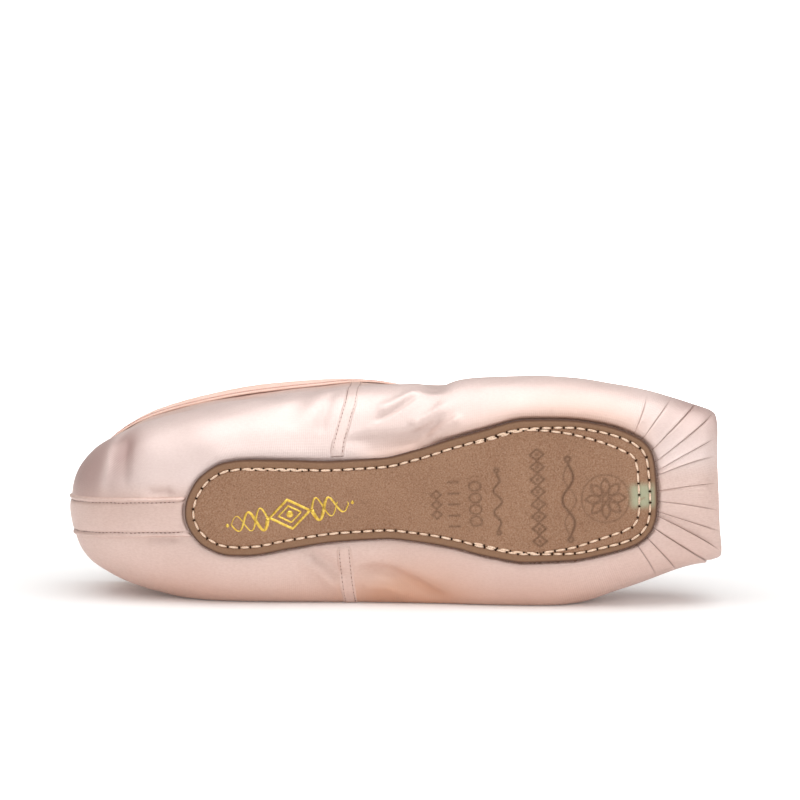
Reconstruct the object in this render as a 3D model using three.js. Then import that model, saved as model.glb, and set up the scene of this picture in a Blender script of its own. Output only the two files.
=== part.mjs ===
// A satin pointe shoe, lying on its left side with its sole facing -Y and its toe towards +X.
// The shoe is worked out upright first: X from heel to platform, Y to the wearer's left, Z up
// from the tread. Nested groups then lay it down. All sizes are in millimetres.
import * as THREE from 'three';

// Driving dimensions
const LENGTH = 240;
const SOLE_THICKNESS = 2.6;
const INSOLE_THICKNESS = 2;
const QUARTER_WALL = 1.8;
const BOX_WALL = 2.8;
const BOX_STARTS_AT = 165;
const BOX_BLEND = 25;
const FIT_GAP = 0.3;
const TAPE_THICKNESS = 0.8;
const BINDING_GAP = 0.45;
const BINDING_WIDTH = 7;
const BINDING_TURN_IN = 5.6;
const HEEL_STRIP_HALF_WIDTH = 6.9;
const MARGIN_SHARE = 0.55;
const MARGIN_BLEND = 0.7;
const SOLE_BEVEL = 0.6;
const INSOLE_OVERHANG = 1.2;
const THROAT_AT = 155;
const NOSE_AT = 252.5;
const SPLAY_STARTS_ABOVE = 3;
const RECESS_BELOW_COLLAR = { start: 19, full: 13 };

// The floor touches the left side along a line that leans by this much from the shoe's length
const LEAN_DEG = 2.62;
const FLOOR_NEAR_HEEL = { x: 57, y: 34.5 };
const FLOOR_SOFTNESS = 1.4;
const PLATFORM_SOFTNESS = 2;

// Side outline of the upper's body seen from above, before the floor flattens the left side
const BODY = {
  columns: ['x', 'right', 'left'],
  rows: [
    [1.2, 0, 0],
    [2, 8.2, 8.2],
    [4, 14.2, 13.8],
    [7, 18.7, 18],
    [11, 22.7, 21.7],
    [16, 26, 25.1],
    [21, 28.4, 27.7],
    [29, 31.3, 30.6],
    [48, 35.9, 36],
    [72, 39.6, 38.6],
    [100, 41.4, 40],
    [124, 42.2, 40.6],
    [137, 42.1, 41],
    [150, 43.4, 41.6],
    [162, 43.9, 42.2],
    [176, 43.5, 42.4],
    [188, 42.2, 40.2],
    [204, 39.3, 35.7],
    [220, 35.3, 31.3],
    [232, 30.8, 28],
    [240, 27, 25.8],
    [246, 21.6, 21.2],
    [250, 13.8, 13.6],
    [NOSE_AT, 0, 0],
  ],
};

// Outline of the outsole
const SOLE = {
  columns: ['x', 'right', 'left'],
  rows: [
    [46.4, 0, 0],
    [47.8, 6.4, 5.7],
    [52.8, 13.7, 11.8],
    [61.7, 18.4, 15.5],
    [68.6, 19.1, 15.9],
    [84.5, 18.3, 13.9],
    [101, 17.2, 12.3],
    [118, 17.5, 12],
    [131, 20, 13.6],
    [143.5, 23.5, 16.2],
    [155, 26.3, 19.5],
    [170, 29.4, 22.2],
    [184, 28.9, 22.1],
    [198, 26.5, 20.1],
    [208.5, 22.4, 17.2],
    [214, 18, 12.6],
    [216, 12.5, 7.4],
    [216.6, 0, 0],
  ],
};

// Heights along the shoe: the tread's rise, the widest line of the side, the top of the vamp or
// the crown that the quarter's wall heads for, the collar, and how square the section is
const HEIGHTS = {
  columns: ['x', 'tread', 'widest', 'crown', 'collar', 'square'],
  rows: [
    [0, 1, 28, 92, 57, 2.5],
    [30, 0.3, 27, 90, 53.5, 2.5],
    [55, 0, 26, 86, 49.5, 2.5],
    [80, 0.6, 24.5, 80, 46.8, 2.5],
    [112, 2.6, 22.5, 71, 46.8, 2.4],
    [135, 1.4, 20.5, 62.5, 49.9, 2.25],
    [THROAT_AT, 0, 19.5, 56, 56, 2.2],
    [178, 0, 19, 52, 52, 2.25],
    [203, 0.7, 20, 46.5, 46.5, 2.3],
    [228, 2.6, 22, 44, 44, 2.2],
    [LENGTH, 3.4, 23, 44, 44, 2.1],
  ],
};

// How far the right and left collar edges splay outwards
const SPLAY = {
  columns: ['x', 'right', 'left'],
  rows: [
    [10, 0, 0],
    [34, 3.2, 2.6],
    [96, 3.2, 2.6],
    [132, 0, 0],
  ],
};

// Vertical cuts through the shoe fan round the heel and the toe: each stands on the axis at a
// foot and leaves it at an angle from the toe's direction
const CUTS = {
  columns: ['index', 'foot', 'angle'],
  rows: [
    [0, 60, 180],
    [1, 60.3, 155],
    [2, 61.5, 130],
    [3, 67, 110],
    [4, 80, 96],
    [5, 100, 91],
    [6, 120, 90],
    [7, 140, 90],
    [8, 156, 88.5],
    [9, 172, 82],
    [10, 186, 66],
    [11, 196, 45],
    [12, 201, 22.5],
    [13, 203, 0],
  ],
};
const LAST_CUT = 13;

const HEEL_FINE_CUTS = 20;
const THROAT_FINE_CUTS = 12;
const TOE_FINE_CUTS = 17;

// Curves through the tables
function column(table, name) {
  const index = table.columns.indexOf(name);
  return table.rows.map((row) => row[index]);
}

// A smooth curve through the rows that never overshoots them
function smoothCurve(xs, ys) {
  const last = xs.length - 1;
  const step = (i) => xs[i + 1] - xs[i];
  const rise = (i) => (ys[i + 1] - ys[i]) / step(i);
  const slopes = xs.map((x, i) => {
    if (i === 0) return rise(0);
    if (i === last) return rise(last - 1);
    const before = rise(i - 1);
    const after = rise(i);
    if (before * after <= 0) return 0;
    const weightBefore = 2 * step(i) + step(i - 1);
    const weightAfter = step(i) + 2 * step(i - 1);
    return (weightBefore + weightAfter) / (weightBefore / before + weightAfter / after);
  });
  return (x) => {
    if (x <= xs[0]) return ys[0];
    if (x >= xs[last]) return ys[last];
    const i = xs.findIndex((edge) => edge > x) - 1;
    const h = step(i);
    const t = (x - xs[i]) / h;
    const s = 1 - t;
    return ys[i] * (1 + 2 * t) * s * s + slopes[i] * h * t * s * s
      + ys[i + 1] * (1 + 2 * s) * t * t - slopes[i + 1] * h * s * t * t;
  };
}

const curveOf = (table, name, key = 'x') => smoothCurve(column(table, key), column(table, name));

// Half-widths are squared before they are joined, so that both ends of an outline are round
function outlineOf(table, side) {
  const squares = column(table, side).map((width) => width * width);
  const curve = smoothCurve(column(table, 'x'), squares);
  return (x) => Math.sqrt(Math.max(0, curve(x)));
}

const body = { right: outlineOf(BODY, 'right'), left: outlineOf(BODY, 'left') };
const sole = { right: outlineOf(SOLE, 'right'), left: outlineOf(SOLE, 'left') };
const splay = { right: curveOf(SPLAY, 'right'), left: curveOf(SPLAY, 'left') };
const treadRise = curveOf(HEIGHTS, 'tread');
const widestHeight = curveOf(HEIGHTS, 'widest');
const crownHeight = curveOf(HEIGHTS, 'crown');
const collarHeight = curveOf(HEIGHTS, 'collar');
const squareness = curveOf(HEIGHTS, 'square');
const footAt = curveOf(CUTS, 'foot', 'index');
const angleAt = curveOf(CUTS, 'angle', 'index');

const lerp = THREE.MathUtils.lerp;
const smoothstep = THREE.MathUtils.smoothstep;

// The smaller of a value and a limit, with a soft corner between them
function softLimit(value, limit, softness) {
  const over = value - limit + softness;
  if (over <= 0) return value;
  if (over >= 2 * softness) return limit;
  return value - (over * over) / (4 * softness);
}

function search(isBelow, low, high) {
  let near = low;
  let far = high;
  for (let pass = 0; pass < 48; pass += 1) {
    const middle = (near + far) / 2;
    if (isBelow(middle)) near = middle;
    else far = middle;
  }
  return (near + far) / 2;
}

const THROAT_CUT = search((u) => footAt(u) < THROAT_AT, 0, LAST_CUT);

// Everything about one vertical cut of the upper
function cutOf(side, u) {
  const foot = footAt(u);
  const angle = THREE.MathUtils.degToRad(angleAt(u));
  const cos = Math.cos(angle);
  const sin = Math.sin(angle);
  const reach = (outline) => search((r) => r * sin < outline[side](foot + r * cos), 0, 80);
  const widestReach = reach(body);
  const widestX = foot + widestReach * cos;
  const crownX = cos < 0 ? widestX : foot;
  const widest = widestHeight(widestX);
  const crown = crownHeight(crownX);
  const square = squareness(crownX);
  const collarShare = Math.min(1, (collarHeight(crownX) - widest) / (crown - widest));
  const open = u < THROAT_CUT - 1e-9;
  return {
    side, foot, cos, sin, widestReach, widest, crown, square,
    soleReach: reach(sole),
    collar: open ? collarHeight(crownX) : crown,
    collarTurn: open ? Math.asin(collarShare ** (square / 2)) : Math.PI / 2,
    splay: splay[side](widestX),
  };
}

const wallAt = (x) => lerp(QUARTER_WALL, BOX_WALL, smoothstep(x, BOX_STARTS_AT - BOX_BLEND, BOX_STARTS_AT));
const floorLine = (x) => FLOOR_NEAR_HEEL.y
  + (x - FLOOR_NEAR_HEEL.x) * Math.tan(THREE.MathUtils.degToRad(LEAN_DEG));

// A point of a cut, kept behind the platform and above the floor
function place(cut, r, z, inset, recess = 0) {
  const x = softLimit(cut.foot + r * cut.cos, LENGTH - inset, PLATFORM_SOFTNESS);
  let y = r * cut.sin;
  if (cut.side === 'left') y = softLimit(y, floorLine(x) - inset - recess, FLOOR_SOFTNESS);
  return new THREE.Vector3(x, cut.side === 'left' ? y : -y, z);
}

// The turned-under lower half, from the sole's edge (turn 0) out to the widest line (a quarter turn)
function lowerPoint(cut, turn, inset) {
  const r = lerp(cut.soleReach, cut.widestReach - inset, Math.sin(turn));
  const edgeX = cut.foot + cut.soleReach * cut.cos;
  const bottom = treadRise(edgeX) + SOLE_THICKNESS + FIT_GAP + inset;
  return place(cut, r, cut.widest - (cut.widest - bottom) * Math.cos(turn), inset);
}

// The upper half, from the widest line (turn 0) to the ridge of the vamp (a quarter turn). On
// the floor side it is sunk under the collar binding, so that the binding lies level with it.
function upperPoint(cut, turn, inset) {
  const power = 2 / cut.square;
  const z = cut.widest + (cut.crown - inset - cut.widest) * Math.max(0, Math.sin(turn)) ** power;
  const rise = smoothstep(z, cut.widest + SPLAY_STARTS_ABOVE, cut.collar);
  const open = cut.collar < cut.crown;
  const r = (cut.widestReach - inset) * Math.max(0, Math.cos(turn)) ** power + cut.splay * rise;
  const { start, full } = RECESS_BELOW_COLLAR;
  const band = open ? smoothstep(z, cut.collar - start, cut.collar - full) : 0;
  return place(cut, r, z, inset, band * (BINDING_GAP + TAPE_THICKNESS));
}

const skinPoint = (cut, v, inset) => (v <= 1
  ? lowerPoint(cut, v * Math.PI / 2, inset)
  : upperPoint(cut, (v - 1) * cut.collarTurn, inset));

// Solids as grids of points
function weldedGeometry(quads) {
  const indexOf = new Map();
  const positions = [];
  const indices = [];
  const vertex = (point) => {
    const key = point.toArray().map((value) => Math.round(value * 2000)).join(' ');
    if (!indexOf.has(key)) {
      indexOf.set(key, positions.length / 3);
      positions.push(...point.toArray());
    }
    return indexOf.get(key);
  };
  const triangle = (a, b, c) => {
    if (a !== b && b !== c && c !== a) indices.push(a, b, c);
  };
  for (const quad of quads) {
    const [a, b, c, d] = quad.map(vertex);
    triangle(a, b, c);
    triangle(a, c, d);
  }
  const geometry = new THREE.BufferGeometry();
  geometry.setAttribute('position', new THREE.Float32BufferAttribute(positions, 3));
  geometry.setIndex(indices);
  geometry.computeVertexNormals();
  return geometry;
}

// Quads between neighbouring rows; each row is a closed loop of points
function loftQuads(rows, keep = () => true) {
  const quads = [];
  rows.forEach((row, i) => {
    const next = rows[(i + 1) % rows.length];
    row.forEach((point, j) => {
      const k = (j + 1) % row.length;
      if (keep(i, j)) quads.push([point, next[j], next[k], row[k]]);
    });
  });
  return quads;
}

// The cuts in order round the shoe: heel, right side, toe, left side and back to the heel
const spread = (from, to, count, ease) => Array.from(
  { length: count },
  (unused, i) => lerp(from, to, ease(i / count)),
);
const cutIndices = [
  ...spread(0, 6, HEEL_FINE_CUTS, (t) => t),
  ...spread(6, THROAT_CUT, THROAT_FINE_CUTS, (t) => Math.sin(t * Math.PI / 2)),
  ...spread(THROAT_CUT, LAST_CUT, TOE_FINE_CUTS, (t) => t),
  LAST_CUT,
];
const rightCuts = cutIndices.map((u) => ({ u, ...cutOf('right', u) }));
const leftCuts = cutIndices.slice(1, -1).reverse().map((u) => ({ u, ...cutOf('left', u) }));
const ringOfCuts = [...rightCuts, ...leftCuts];

// Upper: one hollow solid, open at the collar and underneath inside its turned-under margin
const LOWER_STEPS = [0, 0.08, 0.2, 0.36, 0.54, 0.76, 1];
const UPPER_STEPS = [1.13, 1.27, 1.41, 1.55, 1.68, 1.8, 1.91, 2];
const RIM_STEPS = [0.54, 0.76, 1.13, 1.27];
const RIM_LEAD = 14;

// How far forward a point of a cut would reach if the platform weren't there
function reachForward(cut, v, inset) {
  const power = 2 / cut.square;
  const widest = cut.widestReach - inset;
  const r = v <= 1
    ? lerp(cut.soleReach, widest, Math.sin(v * Math.PI / 2))
    : widest * Math.max(0, Math.cos((v - 1) * Math.PI / 2)) ** power;
  return cut.foot + r * cut.cos;
}

// Where the cuts of the toe box meet the platform, four of their rows are moved onto its rim
function rimMarks(cut, inset) {
  const start = LENGTH - inset - PLATFORM_SOFTNESS;
  const end = LENGTH - inset + PLATFORM_SOFTNESS;
  const forward = reachForward(cut, 1, inset);
  const gather = smoothstep(forward, start - RIM_LEAD, start);
  if (gather < 1) return RIM_STEPS.map((step) => lerp(step, 1, gather));
  const under = (x) => search((step) => reachForward(cut, step, inset) < x, 0, 1);
  const over = (x) => search((step) => reachForward(cut, step, inset) > x, 1, 2);
  return [under(start), under(end), over(end), over(start)];
}

function rimStep(cut, v, inset) {
  const [underStart, underEnd, overEnd, overStart] = rimMarks(cut, inset);
  const from = [0, RIM_STEPS[0], RIM_STEPS[1], 1, RIM_STEPS[2], RIM_STEPS[3], 2];
  const to = [0, underStart, underEnd, 1, overEnd, overStart, 2];
  const i = Math.max(1, from.findIndex((mark) => mark >= v));
  return lerp(to[i - 1], to[i], (v - from[i - 1]) / (from[i] - from[i - 1]));
}

function marginPoint(cut, share, inset) {
  const edge = lowerPoint(cut, 0, inset);
  const spine = new THREE.Vector3(cut.foot, 0, edge.z);
  const point = spine.lerp(edge, share);
  point.z += treadRise(point.x) - treadRise(edge.x);
  return point;
}

// The wall thickens into the toe box, but the turned-under margin stays thin
function wallOf(cut, v) {
  return lerp(QUARTER_WALL, wallAt(cut.foot), smoothstep(v, 0, MARGIN_BLEND));
}

function upperProfile(cut) {
  const steps = [...LOWER_STEPS, ...UPPER_STEPS];
  return [
    marginPoint(cut, MARGIN_SHARE, 0),
    marginPoint(cut, (1 + MARGIN_SHARE) / 2, 0),
    ...steps.map((v) => skinPoint(cut, rimStep(cut, v, 0), 0)),
    ...steps.toReversed().map((v) => skinPoint(cut, rimStep(cut, v, wallOf(cut, v)), wallOf(cut, v))),
    marginPoint(cut, (1 + MARGIN_SHARE) / 2, QUARTER_WALL),
    marginPoint(cut, MARGIN_SHARE, QUARTER_WALL),
  ];
}

function upperGeometry() {
  const rows = ringOfCuts.map(upperProfile);
  const rim = 1 + LOWER_STEPS.length + UPPER_STEPS.length;
  const isVamp = (i) => ringOfCuts[i % ringOfCuts.length].u >= THROAT_CUT - 1e-9;
  return weldedGeometry(loftQuads(rows, (i, j) => j !== rim || !(isVamp(i) && isVamp(i + 1))));
}

// Outsole and insole: flat discs that follow the tread
function discPoint(cut, reach, height) {
  const x = cut.foot + reach * cut.cos;
  const y = reach * cut.sin * (cut.side === 'left' ? 1 : -1);
  return new THREE.Vector3(x, y, treadRise(x) + height);
}

function discGeometry(edge, low, high, bevel) {
  const rows = ringOfCuts.map((cut) => {
    const full = cut.soleReach + edge;
    const floorPoints = [0, 0.5, 0.85].map((share) => discPoint(cut, share * full, low));
    return [
      ...floorPoints,
      discPoint(cut, full - bevel, low),
      discPoint(cut, full, low + bevel),
      discPoint(cut, full, high),
      ...[0.85, 0.5, 0].map((share) => discPoint(cut, share * full, high)),
    ];
  });
  const spine = rows[0].length - 1;
  return weldedGeometry(loftQuads(rows, (i, j) => j !== spine));
}

const outsoleGeometry = () => discGeometry(0, 0, SOLE_THICKNESS, SOLE_BEVEL);

function insoleGeometry() {
  const low = SOLE_THICKNESS + FIT_GAP + QUARTER_WALL + FIT_GAP;
  return discGeometry(INSOLE_OVERHANG, low, low + INSOLE_THICKNESS, SOLE_BEVEL);
}

// The outward direction of the skin, from two short steps on it
function skinNormal(point, alongCut, alongCollar) {
  return alongCut.sub(point).cross(alongCollar.sub(point)).normalize();
}

// Heel strip: a tape of one width over the back seam, from the sole's heel end to the binding
const STRIP_ROWS = 17;
const STRIP_COLUMNS = [1, 0.5, 0, -0.5, -1];
const STRIP_START = 0.011;

function stripPoint(v, across, lift) {
  const side = across < 0 ? 'right' : 'left';
  const target = Math.abs(across) * HEEL_STRIP_HALF_WIDTH;
  const sideways = (u) => Math.abs(skinPoint(cutOf(side, u), v, 0).y);
  const u = across === 0 ? 0 : search((index) => sideways(index) < target, 0, 3);
  const nudge = 0.01;
  const cut = cutOf(side, u);
  const point = skinPoint(cut, v, 0);
  const up = skinPoint(cut, v + nudge, 0);
  const round = skinPoint(cutOf(side, u + nudge), v, 0);
  const normal = skinNormal(point, up, round);
  if (side === 'right') normal.negate();
  return point.addScaledVector(normal, lift);
}

function stripEnd() {
  const cut = cutOf('right', 0);
  const top = skinPoint(cut, 2, 0);
  return search((v) => top.distanceTo(skinPoint(cut, v, 0)) > BINDING_WIDTH + 2 * FIT_GAP, 1, 2);
}

function heelStripGeometry() {
  const end = stripEnd();
  const rows = Array.from({ length: STRIP_ROWS }, (unused, i) => {
    const v = lerp(STRIP_START, end, i / (STRIP_ROWS - 1));
    return [
      ...STRIP_COLUMNS.map((across) => stripPoint(v, across, FIT_GAP)),
      ...STRIP_COLUMNS.toReversed().map((across) => stripPoint(v, across, FIT_GAP + TAPE_THICKNESS)),
    ];
  });
  return weldedGeometry([...loftQuads(rows, (i) => i < STRIP_ROWS - 1), ...endCaps(rows)]);
}

// Ends of a strip whose rows run one way underneath and back on top
function endCaps(rows) {
  const caps = [];
  const half = rows[0].length / 2;
  for (const [row, isLast] of [[rows[0], false], [rows.at(-1), true]]) {
    for (let j = 0; j < half - 1; j += 1) {
      const quad = [row[j], row[j + 1], row[row.length - 2 - j], row[row.length - 1 - j]];
      caps.push(isLast ? quad.toReversed() : quad);
    }
  }
  return caps;
}

// Collar binding: a tape folded over the collar edge, with one leg outside and one inside
const WALK_STEPS = 6;

// Walks on the skin from the collar, square to its edge, and lists the points and outward
// directions met on the way
function walkFromCollar(cut, isInside, edgeDirection, distance) {
  const nudge = 0.004;
  const at = (index, turn) => {
    const near = cutOf(cut.side, index);
    return upperPoint(near, turn, isInside ? wallAt(near.foot) : 0);
  };
  const stops = [];
  let here = { u: cut.u, turn: cut.collarTurn };
  for (let i = 0; i <= WALK_STEPS; i += 1) {
    const point = at(here.u, here.turn);
    const perCut = at(here.u + nudge, here.turn).sub(point).divideScalar(nudge);
    const perTurn = point.clone().sub(at(here.u, here.turn - nudge)).divideScalar(nudge);
    const normal = perCut.clone().cross(perTurn).normalize();
    if (cut.side === 'left') normal.negate();
    const inward = edgeDirection.clone().cross(normal).normalize();
    stops.push({ point, normal, inward });
    const stride = distance / WALK_STEPS;
    const a = perCut.dot(perCut);
    const b = perCut.dot(perTurn);
    const c = perTurn.dot(perTurn);
    const p = inward.dot(perCut) * stride;
    const q = inward.dot(perTurn) * stride;
    const area = a * c - b * b;
    here = { u: here.u + (p * c - q * b) / area, turn: here.turn + (q * a - p * b) / area };
  }
  return stops;
}

function bindingProfile(cut, edgeDirection) {
  const outside = walkFromCollar(cut, false, edgeDirection, BINDING_WIDTH);
  const inside = walkFromCollar(cut, true, edgeDirection, BINDING_TURN_IN);
  const stopsOf = (stops) => stops.filter((stop, i) => i % 2 === 0).reverse();
  const near = BINDING_GAP;
  const far = BINDING_GAP + TAPE_THICKNESS;
  const off = (stop, lift, up) => stop.point.clone()
    .addScaledVector(stop.normal, lift)
    .addScaledVector(stop.inward, -up);
  const leg = (stops, lift, sign) => stopsOf(stops)
    .map((stop, i) => off(stop, sign * lift, i === WALK_STEPS / 2 ? near : 0));
  return [
    ...leg(outside, far, 1),
    off(outside[0], near, far),
    off(inside[0], -near, far),
    ...leg(inside, far, -1).reverse(),
    ...leg(inside, near, -1),
    ...leg(outside, near, 1).reverse(),
  ];
}

function collarBindingGeometry() {
  const openRight = rightCuts.filter((cut) => cut.u <= THROAT_CUT + 1e-9);
  const openLeft = leftCuts.filter((cut) => cut.u < THROAT_CUT - 1e-9);
  const loop = [...openRight, ...openLeft];
  const edge = loop.map((cut) => skinPoint(cut, 2, 0));
  const rows = loop.map((cut, i) => {
    const after = edge[(i + 1) % loop.length];
    const before = edge[(i + loop.length - 1) % loop.length];
    return bindingProfile(cut, after.clone().sub(before).normalize());
  });
  return weldedGeometry(loftQuads(rows));
}

// Materials
const finish = (color, roughness) => new THREE.MeshStandardMaterial({ color, roughness, metalness: 0 });
const satin = finish(0xebd2c8, 0.38);
const tape = finish(0xeed0c0, 0.5);
const leather = finish(0xa57d64, 0.85);
const canvas = finish(0xd9c4ae, 0.9);

// Assembly
const upright = new THREE.Group();
const addPiece = (name, geometry, material) => {
  const mesh = new THREE.Mesh(geometry, material);
  mesh.name = name;
  upright.add(mesh);
};
addPiece('upper', upperGeometry(), satin);
addPiece('outsole', outsoleGeometry(), leather);
addPiece('insole', insoleGeometry(), canvas);
addPiece('heel_strip', heelStripGeometry(), satin);
addPiece('collar_binding', collarBindingGeometry(), tape);

// On its left side: the tread plane stands upright and faces -Y
upright.rotation.x = -Math.PI / 2;
const leaning = new THREE.Group();
leaning.add(upright);
leaning.rotation.y = -THREE.MathUtils.degToRad(LEAN_DEG);
const shoe = new THREE.Group();
shoe.add(leaning);
shoe.updateMatrixWorld(true);

// The origin is under the middle of the shoe, on the floor
const box = new THREE.Box3().setFromObject(shoe, true);
const middle = box.getCenter(new THREE.Vector3());
leaning.position.set(-middle.x, -middle.y, -box.min.z);

export default shoe;
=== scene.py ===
import math

import bpy
import numpy as np
from mathutils import Matrix, Vector
from mathutils.bvhtree import BVHTree


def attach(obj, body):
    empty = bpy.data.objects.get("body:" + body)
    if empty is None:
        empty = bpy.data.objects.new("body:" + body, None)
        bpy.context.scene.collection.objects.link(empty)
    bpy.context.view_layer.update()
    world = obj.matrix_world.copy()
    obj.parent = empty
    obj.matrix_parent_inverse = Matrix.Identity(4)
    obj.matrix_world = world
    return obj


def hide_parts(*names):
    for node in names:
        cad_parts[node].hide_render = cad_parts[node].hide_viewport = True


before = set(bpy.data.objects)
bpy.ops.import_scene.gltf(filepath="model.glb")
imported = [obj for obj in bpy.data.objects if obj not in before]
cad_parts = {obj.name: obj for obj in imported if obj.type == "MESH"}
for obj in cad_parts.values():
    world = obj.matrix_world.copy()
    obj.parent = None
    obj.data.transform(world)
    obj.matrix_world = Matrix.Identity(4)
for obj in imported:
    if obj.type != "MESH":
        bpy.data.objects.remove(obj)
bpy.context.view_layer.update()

# Sizes of the shoe in millimetres, as in the part's source
# X runs from heel to platform, Y to the wearer's left, Z up from the tread
LENGTH = 240
SOLE_THICKNESS = 2.6
INSOLE_THICKNESS = 2
QUARTER_WALL = 1.8
BOX_WALL = 2.8
FIT_GAP = 0.3
TAPE_THICKNESS = 0.8
BINDING_GAP = 0.45
BINDING_TURN_IN = 5.6
STRIP_HALF_WIDTH = 6.9
MARGIN_SHARE = 0.55
THROAT_AT = 155
PLATFORM_SOFTNESS = 2
FLOOR_SOFTNESS = 1.4
LEAN = math.radians(2.62)
SHIFT = (-120.434, -29.094, 31.860)
TOE = 13
ROUND = 2 * TOE

# x, half-width on the right, half-width on the left
BODY = [
    (1.2, 0, 0), (2, 8.2, 8.2), (4, 14.2, 13.8), (7, 18.7, 18), (11, 22.7, 21.7),
    (16, 26, 25.1), (21, 28.4, 27.7), (29, 31.3, 30.6), (48, 35.9, 36), (72, 39.6, 38.6),
    (100, 41.4, 40), (124, 42.2, 40.6), (137, 42.1, 41), (150, 43.4, 41.6),
    (162, 43.9, 42.2), (176, 43.5, 42.4), (188, 42.2, 40.2), (204, 39.3, 35.7),
    (220, 35.3, 31.3), (232, 30.8, 28), (240, 27, 25.8), (246, 21.6, 21.2),
    (250, 13.8, 13.6), (252.5, 0, 0),
]
SOLE = [
    (46.4, 0, 0), (47.8, 6.4, 5.7), (52.8, 13.7, 11.8), (61.7, 18.4, 15.5),
    (68.6, 19.1, 15.9), (84.5, 18.3, 13.9), (101, 17.2, 12.3), (118, 17.5, 12),
    (131, 20, 13.6), (143.5, 23.5, 16.2), (155, 26.3, 19.5), (170, 29.4, 22.2),
    (184, 28.9, 22.1), (198, 26.5, 20.1), (208.5, 22.4, 17.2), (214, 18, 12.6),
    (216, 12.5, 7.4), (216.6, 0, 0),
]
# x, rise of the tread, widest line, crown, collar, squareness of the section
HEIGHTS = [
    (0, 1, 28, 92, 57, 2.5), (30, 0.3, 27, 90, 53.5, 2.5), (55, 0, 26, 86, 49.5, 2.5),
    (80, 0.6, 24.5, 80, 46.8, 2.5), (112, 2.6, 22.5, 71, 46.8, 2.4),
    (135, 1.4, 20.5, 62.5, 49.9, 2.25), (155, 0, 19.5, 56, 56, 2.2),
    (178, 0, 19, 52, 52, 2.25), (203, 0.7, 20, 46.5, 46.5, 2.3),
    (228, 2.6, 22, 44, 44, 2.2), (240, 3.4, 23, 44, 44, 2.1),
]
SPLAY = [(10, 0, 0), (34, 3.2, 2.6), (96, 3.2, 2.6), (132, 0, 0)]
# index of a vertical cut, its foot on the axis, its angle from the toe's direction
CUTS = [
    (0, 60, 180), (1, 60.3, 155), (2, 61.5, 130), (3, 67, 110), (4, 80, 96), (5, 100, 91),
    (6, 120, 90), (7, 140, 90), (8, 156, 88.5), (9, 172, 82), (10, 186, 66), (11, 196, 45),
    (12, 201, 22.5), (TOE, 203, 0),
]


# Curves through the tables
def smooth_curve(rows, column, power=1):
    xs = np.array([row[0] for row in rows], float)
    ys = np.array([row[column] for row in rows], float) ** power
    step = np.diff(xs)
    rise = np.diff(ys) / step
    slopes = np.concatenate([rise[:1], np.zeros(len(xs) - 2), rise[-1:]])
    for i in range(1, len(xs) - 1):
        before, after = rise[i - 1], rise[i]
        if before * after > 0:
            weight_before = 2 * step[i] + step[i - 1]
            weight_after = step[i] + 2 * step[i - 1]
            total = weight_before + weight_after
            slopes[i] = total / (weight_before / before + weight_after / after)

    def curve(x):
        x = np.clip(np.asarray(x, float), xs[0], xs[-1])
        i = np.clip(np.searchsorted(xs, x, side="right") - 1, 0, len(step) - 1)
        t = (x - xs[i]) / step[i]
        s = 1 - t
        near = ys[i] * (1 + 2 * t) + slopes[i] * step[i] * t
        far = ys[i + 1] * (1 + 2 * s) - slopes[i + 1] * step[i] * s
        return near * s * s + far * t * t

    return curve


def outline(rows, column):
    squares = smooth_curve(rows, column, power=2)
    return lambda x: np.sqrt(np.maximum(0, squares(x)))


RIGHT, LEFT = 1, 2
body_width = {side: outline(BODY, side) for side in (RIGHT, LEFT)}
sole_width = {side: outline(SOLE, side) for side in (RIGHT, LEFT)}
collar_splay = {side: smooth_curve(SPLAY, side) for side in (RIGHT, LEFT)}
tread_rise = smooth_curve(HEIGHTS, 1)
widest_height = smooth_curve(HEIGHTS, 2)
crown_height = smooth_curve(HEIGHTS, 3)
collar_height = smooth_curve(HEIGHTS, 4)
squareness = smooth_curve(HEIGHTS, 5)
foot_at = smooth_curve(CUTS, 1)
angle_at = smooth_curve(CUTS, 2)


def smoothstep(x, start, end):
    t = np.clip((x - start) / (end - start), 0, 1)
    return t * t * (3 - 2 * t)


def lerp(a, b, t):
    return a + (b - a) * t


def soft_limit(value, limit, softness):
    over = value - limit + softness
    rounded = value - over * over / (4 * softness)
    return np.where(over <= 0, value, np.where(over >= 2 * softness, limit, rounded))


def bell(gap, width, power=2):
    return np.exp(-(gap / width) ** power)


def search(is_below, low, high, shape=()):
    near = np.full(shape, float(low))
    far = np.full(shape, float(high))
    for _ in range(40):
        middle = (near + far) / 2
        below = is_below(middle)
        near = np.where(below, middle, near)
        far = np.where(below, far, middle)
    return (near + far) / 2


THROAT_CUT = float(search(lambda u: foot_at(u) < THROAT_AT, 0, TOE))


# The floor that the left side lies on, as a distance from the axis
FLOOR_ASIDE = 34.5
FLOOR_FROM = 57


def floor_at(x):
    return FLOOR_ASIDE + (x - FLOOR_FROM) * math.tan(LEAN)


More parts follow.
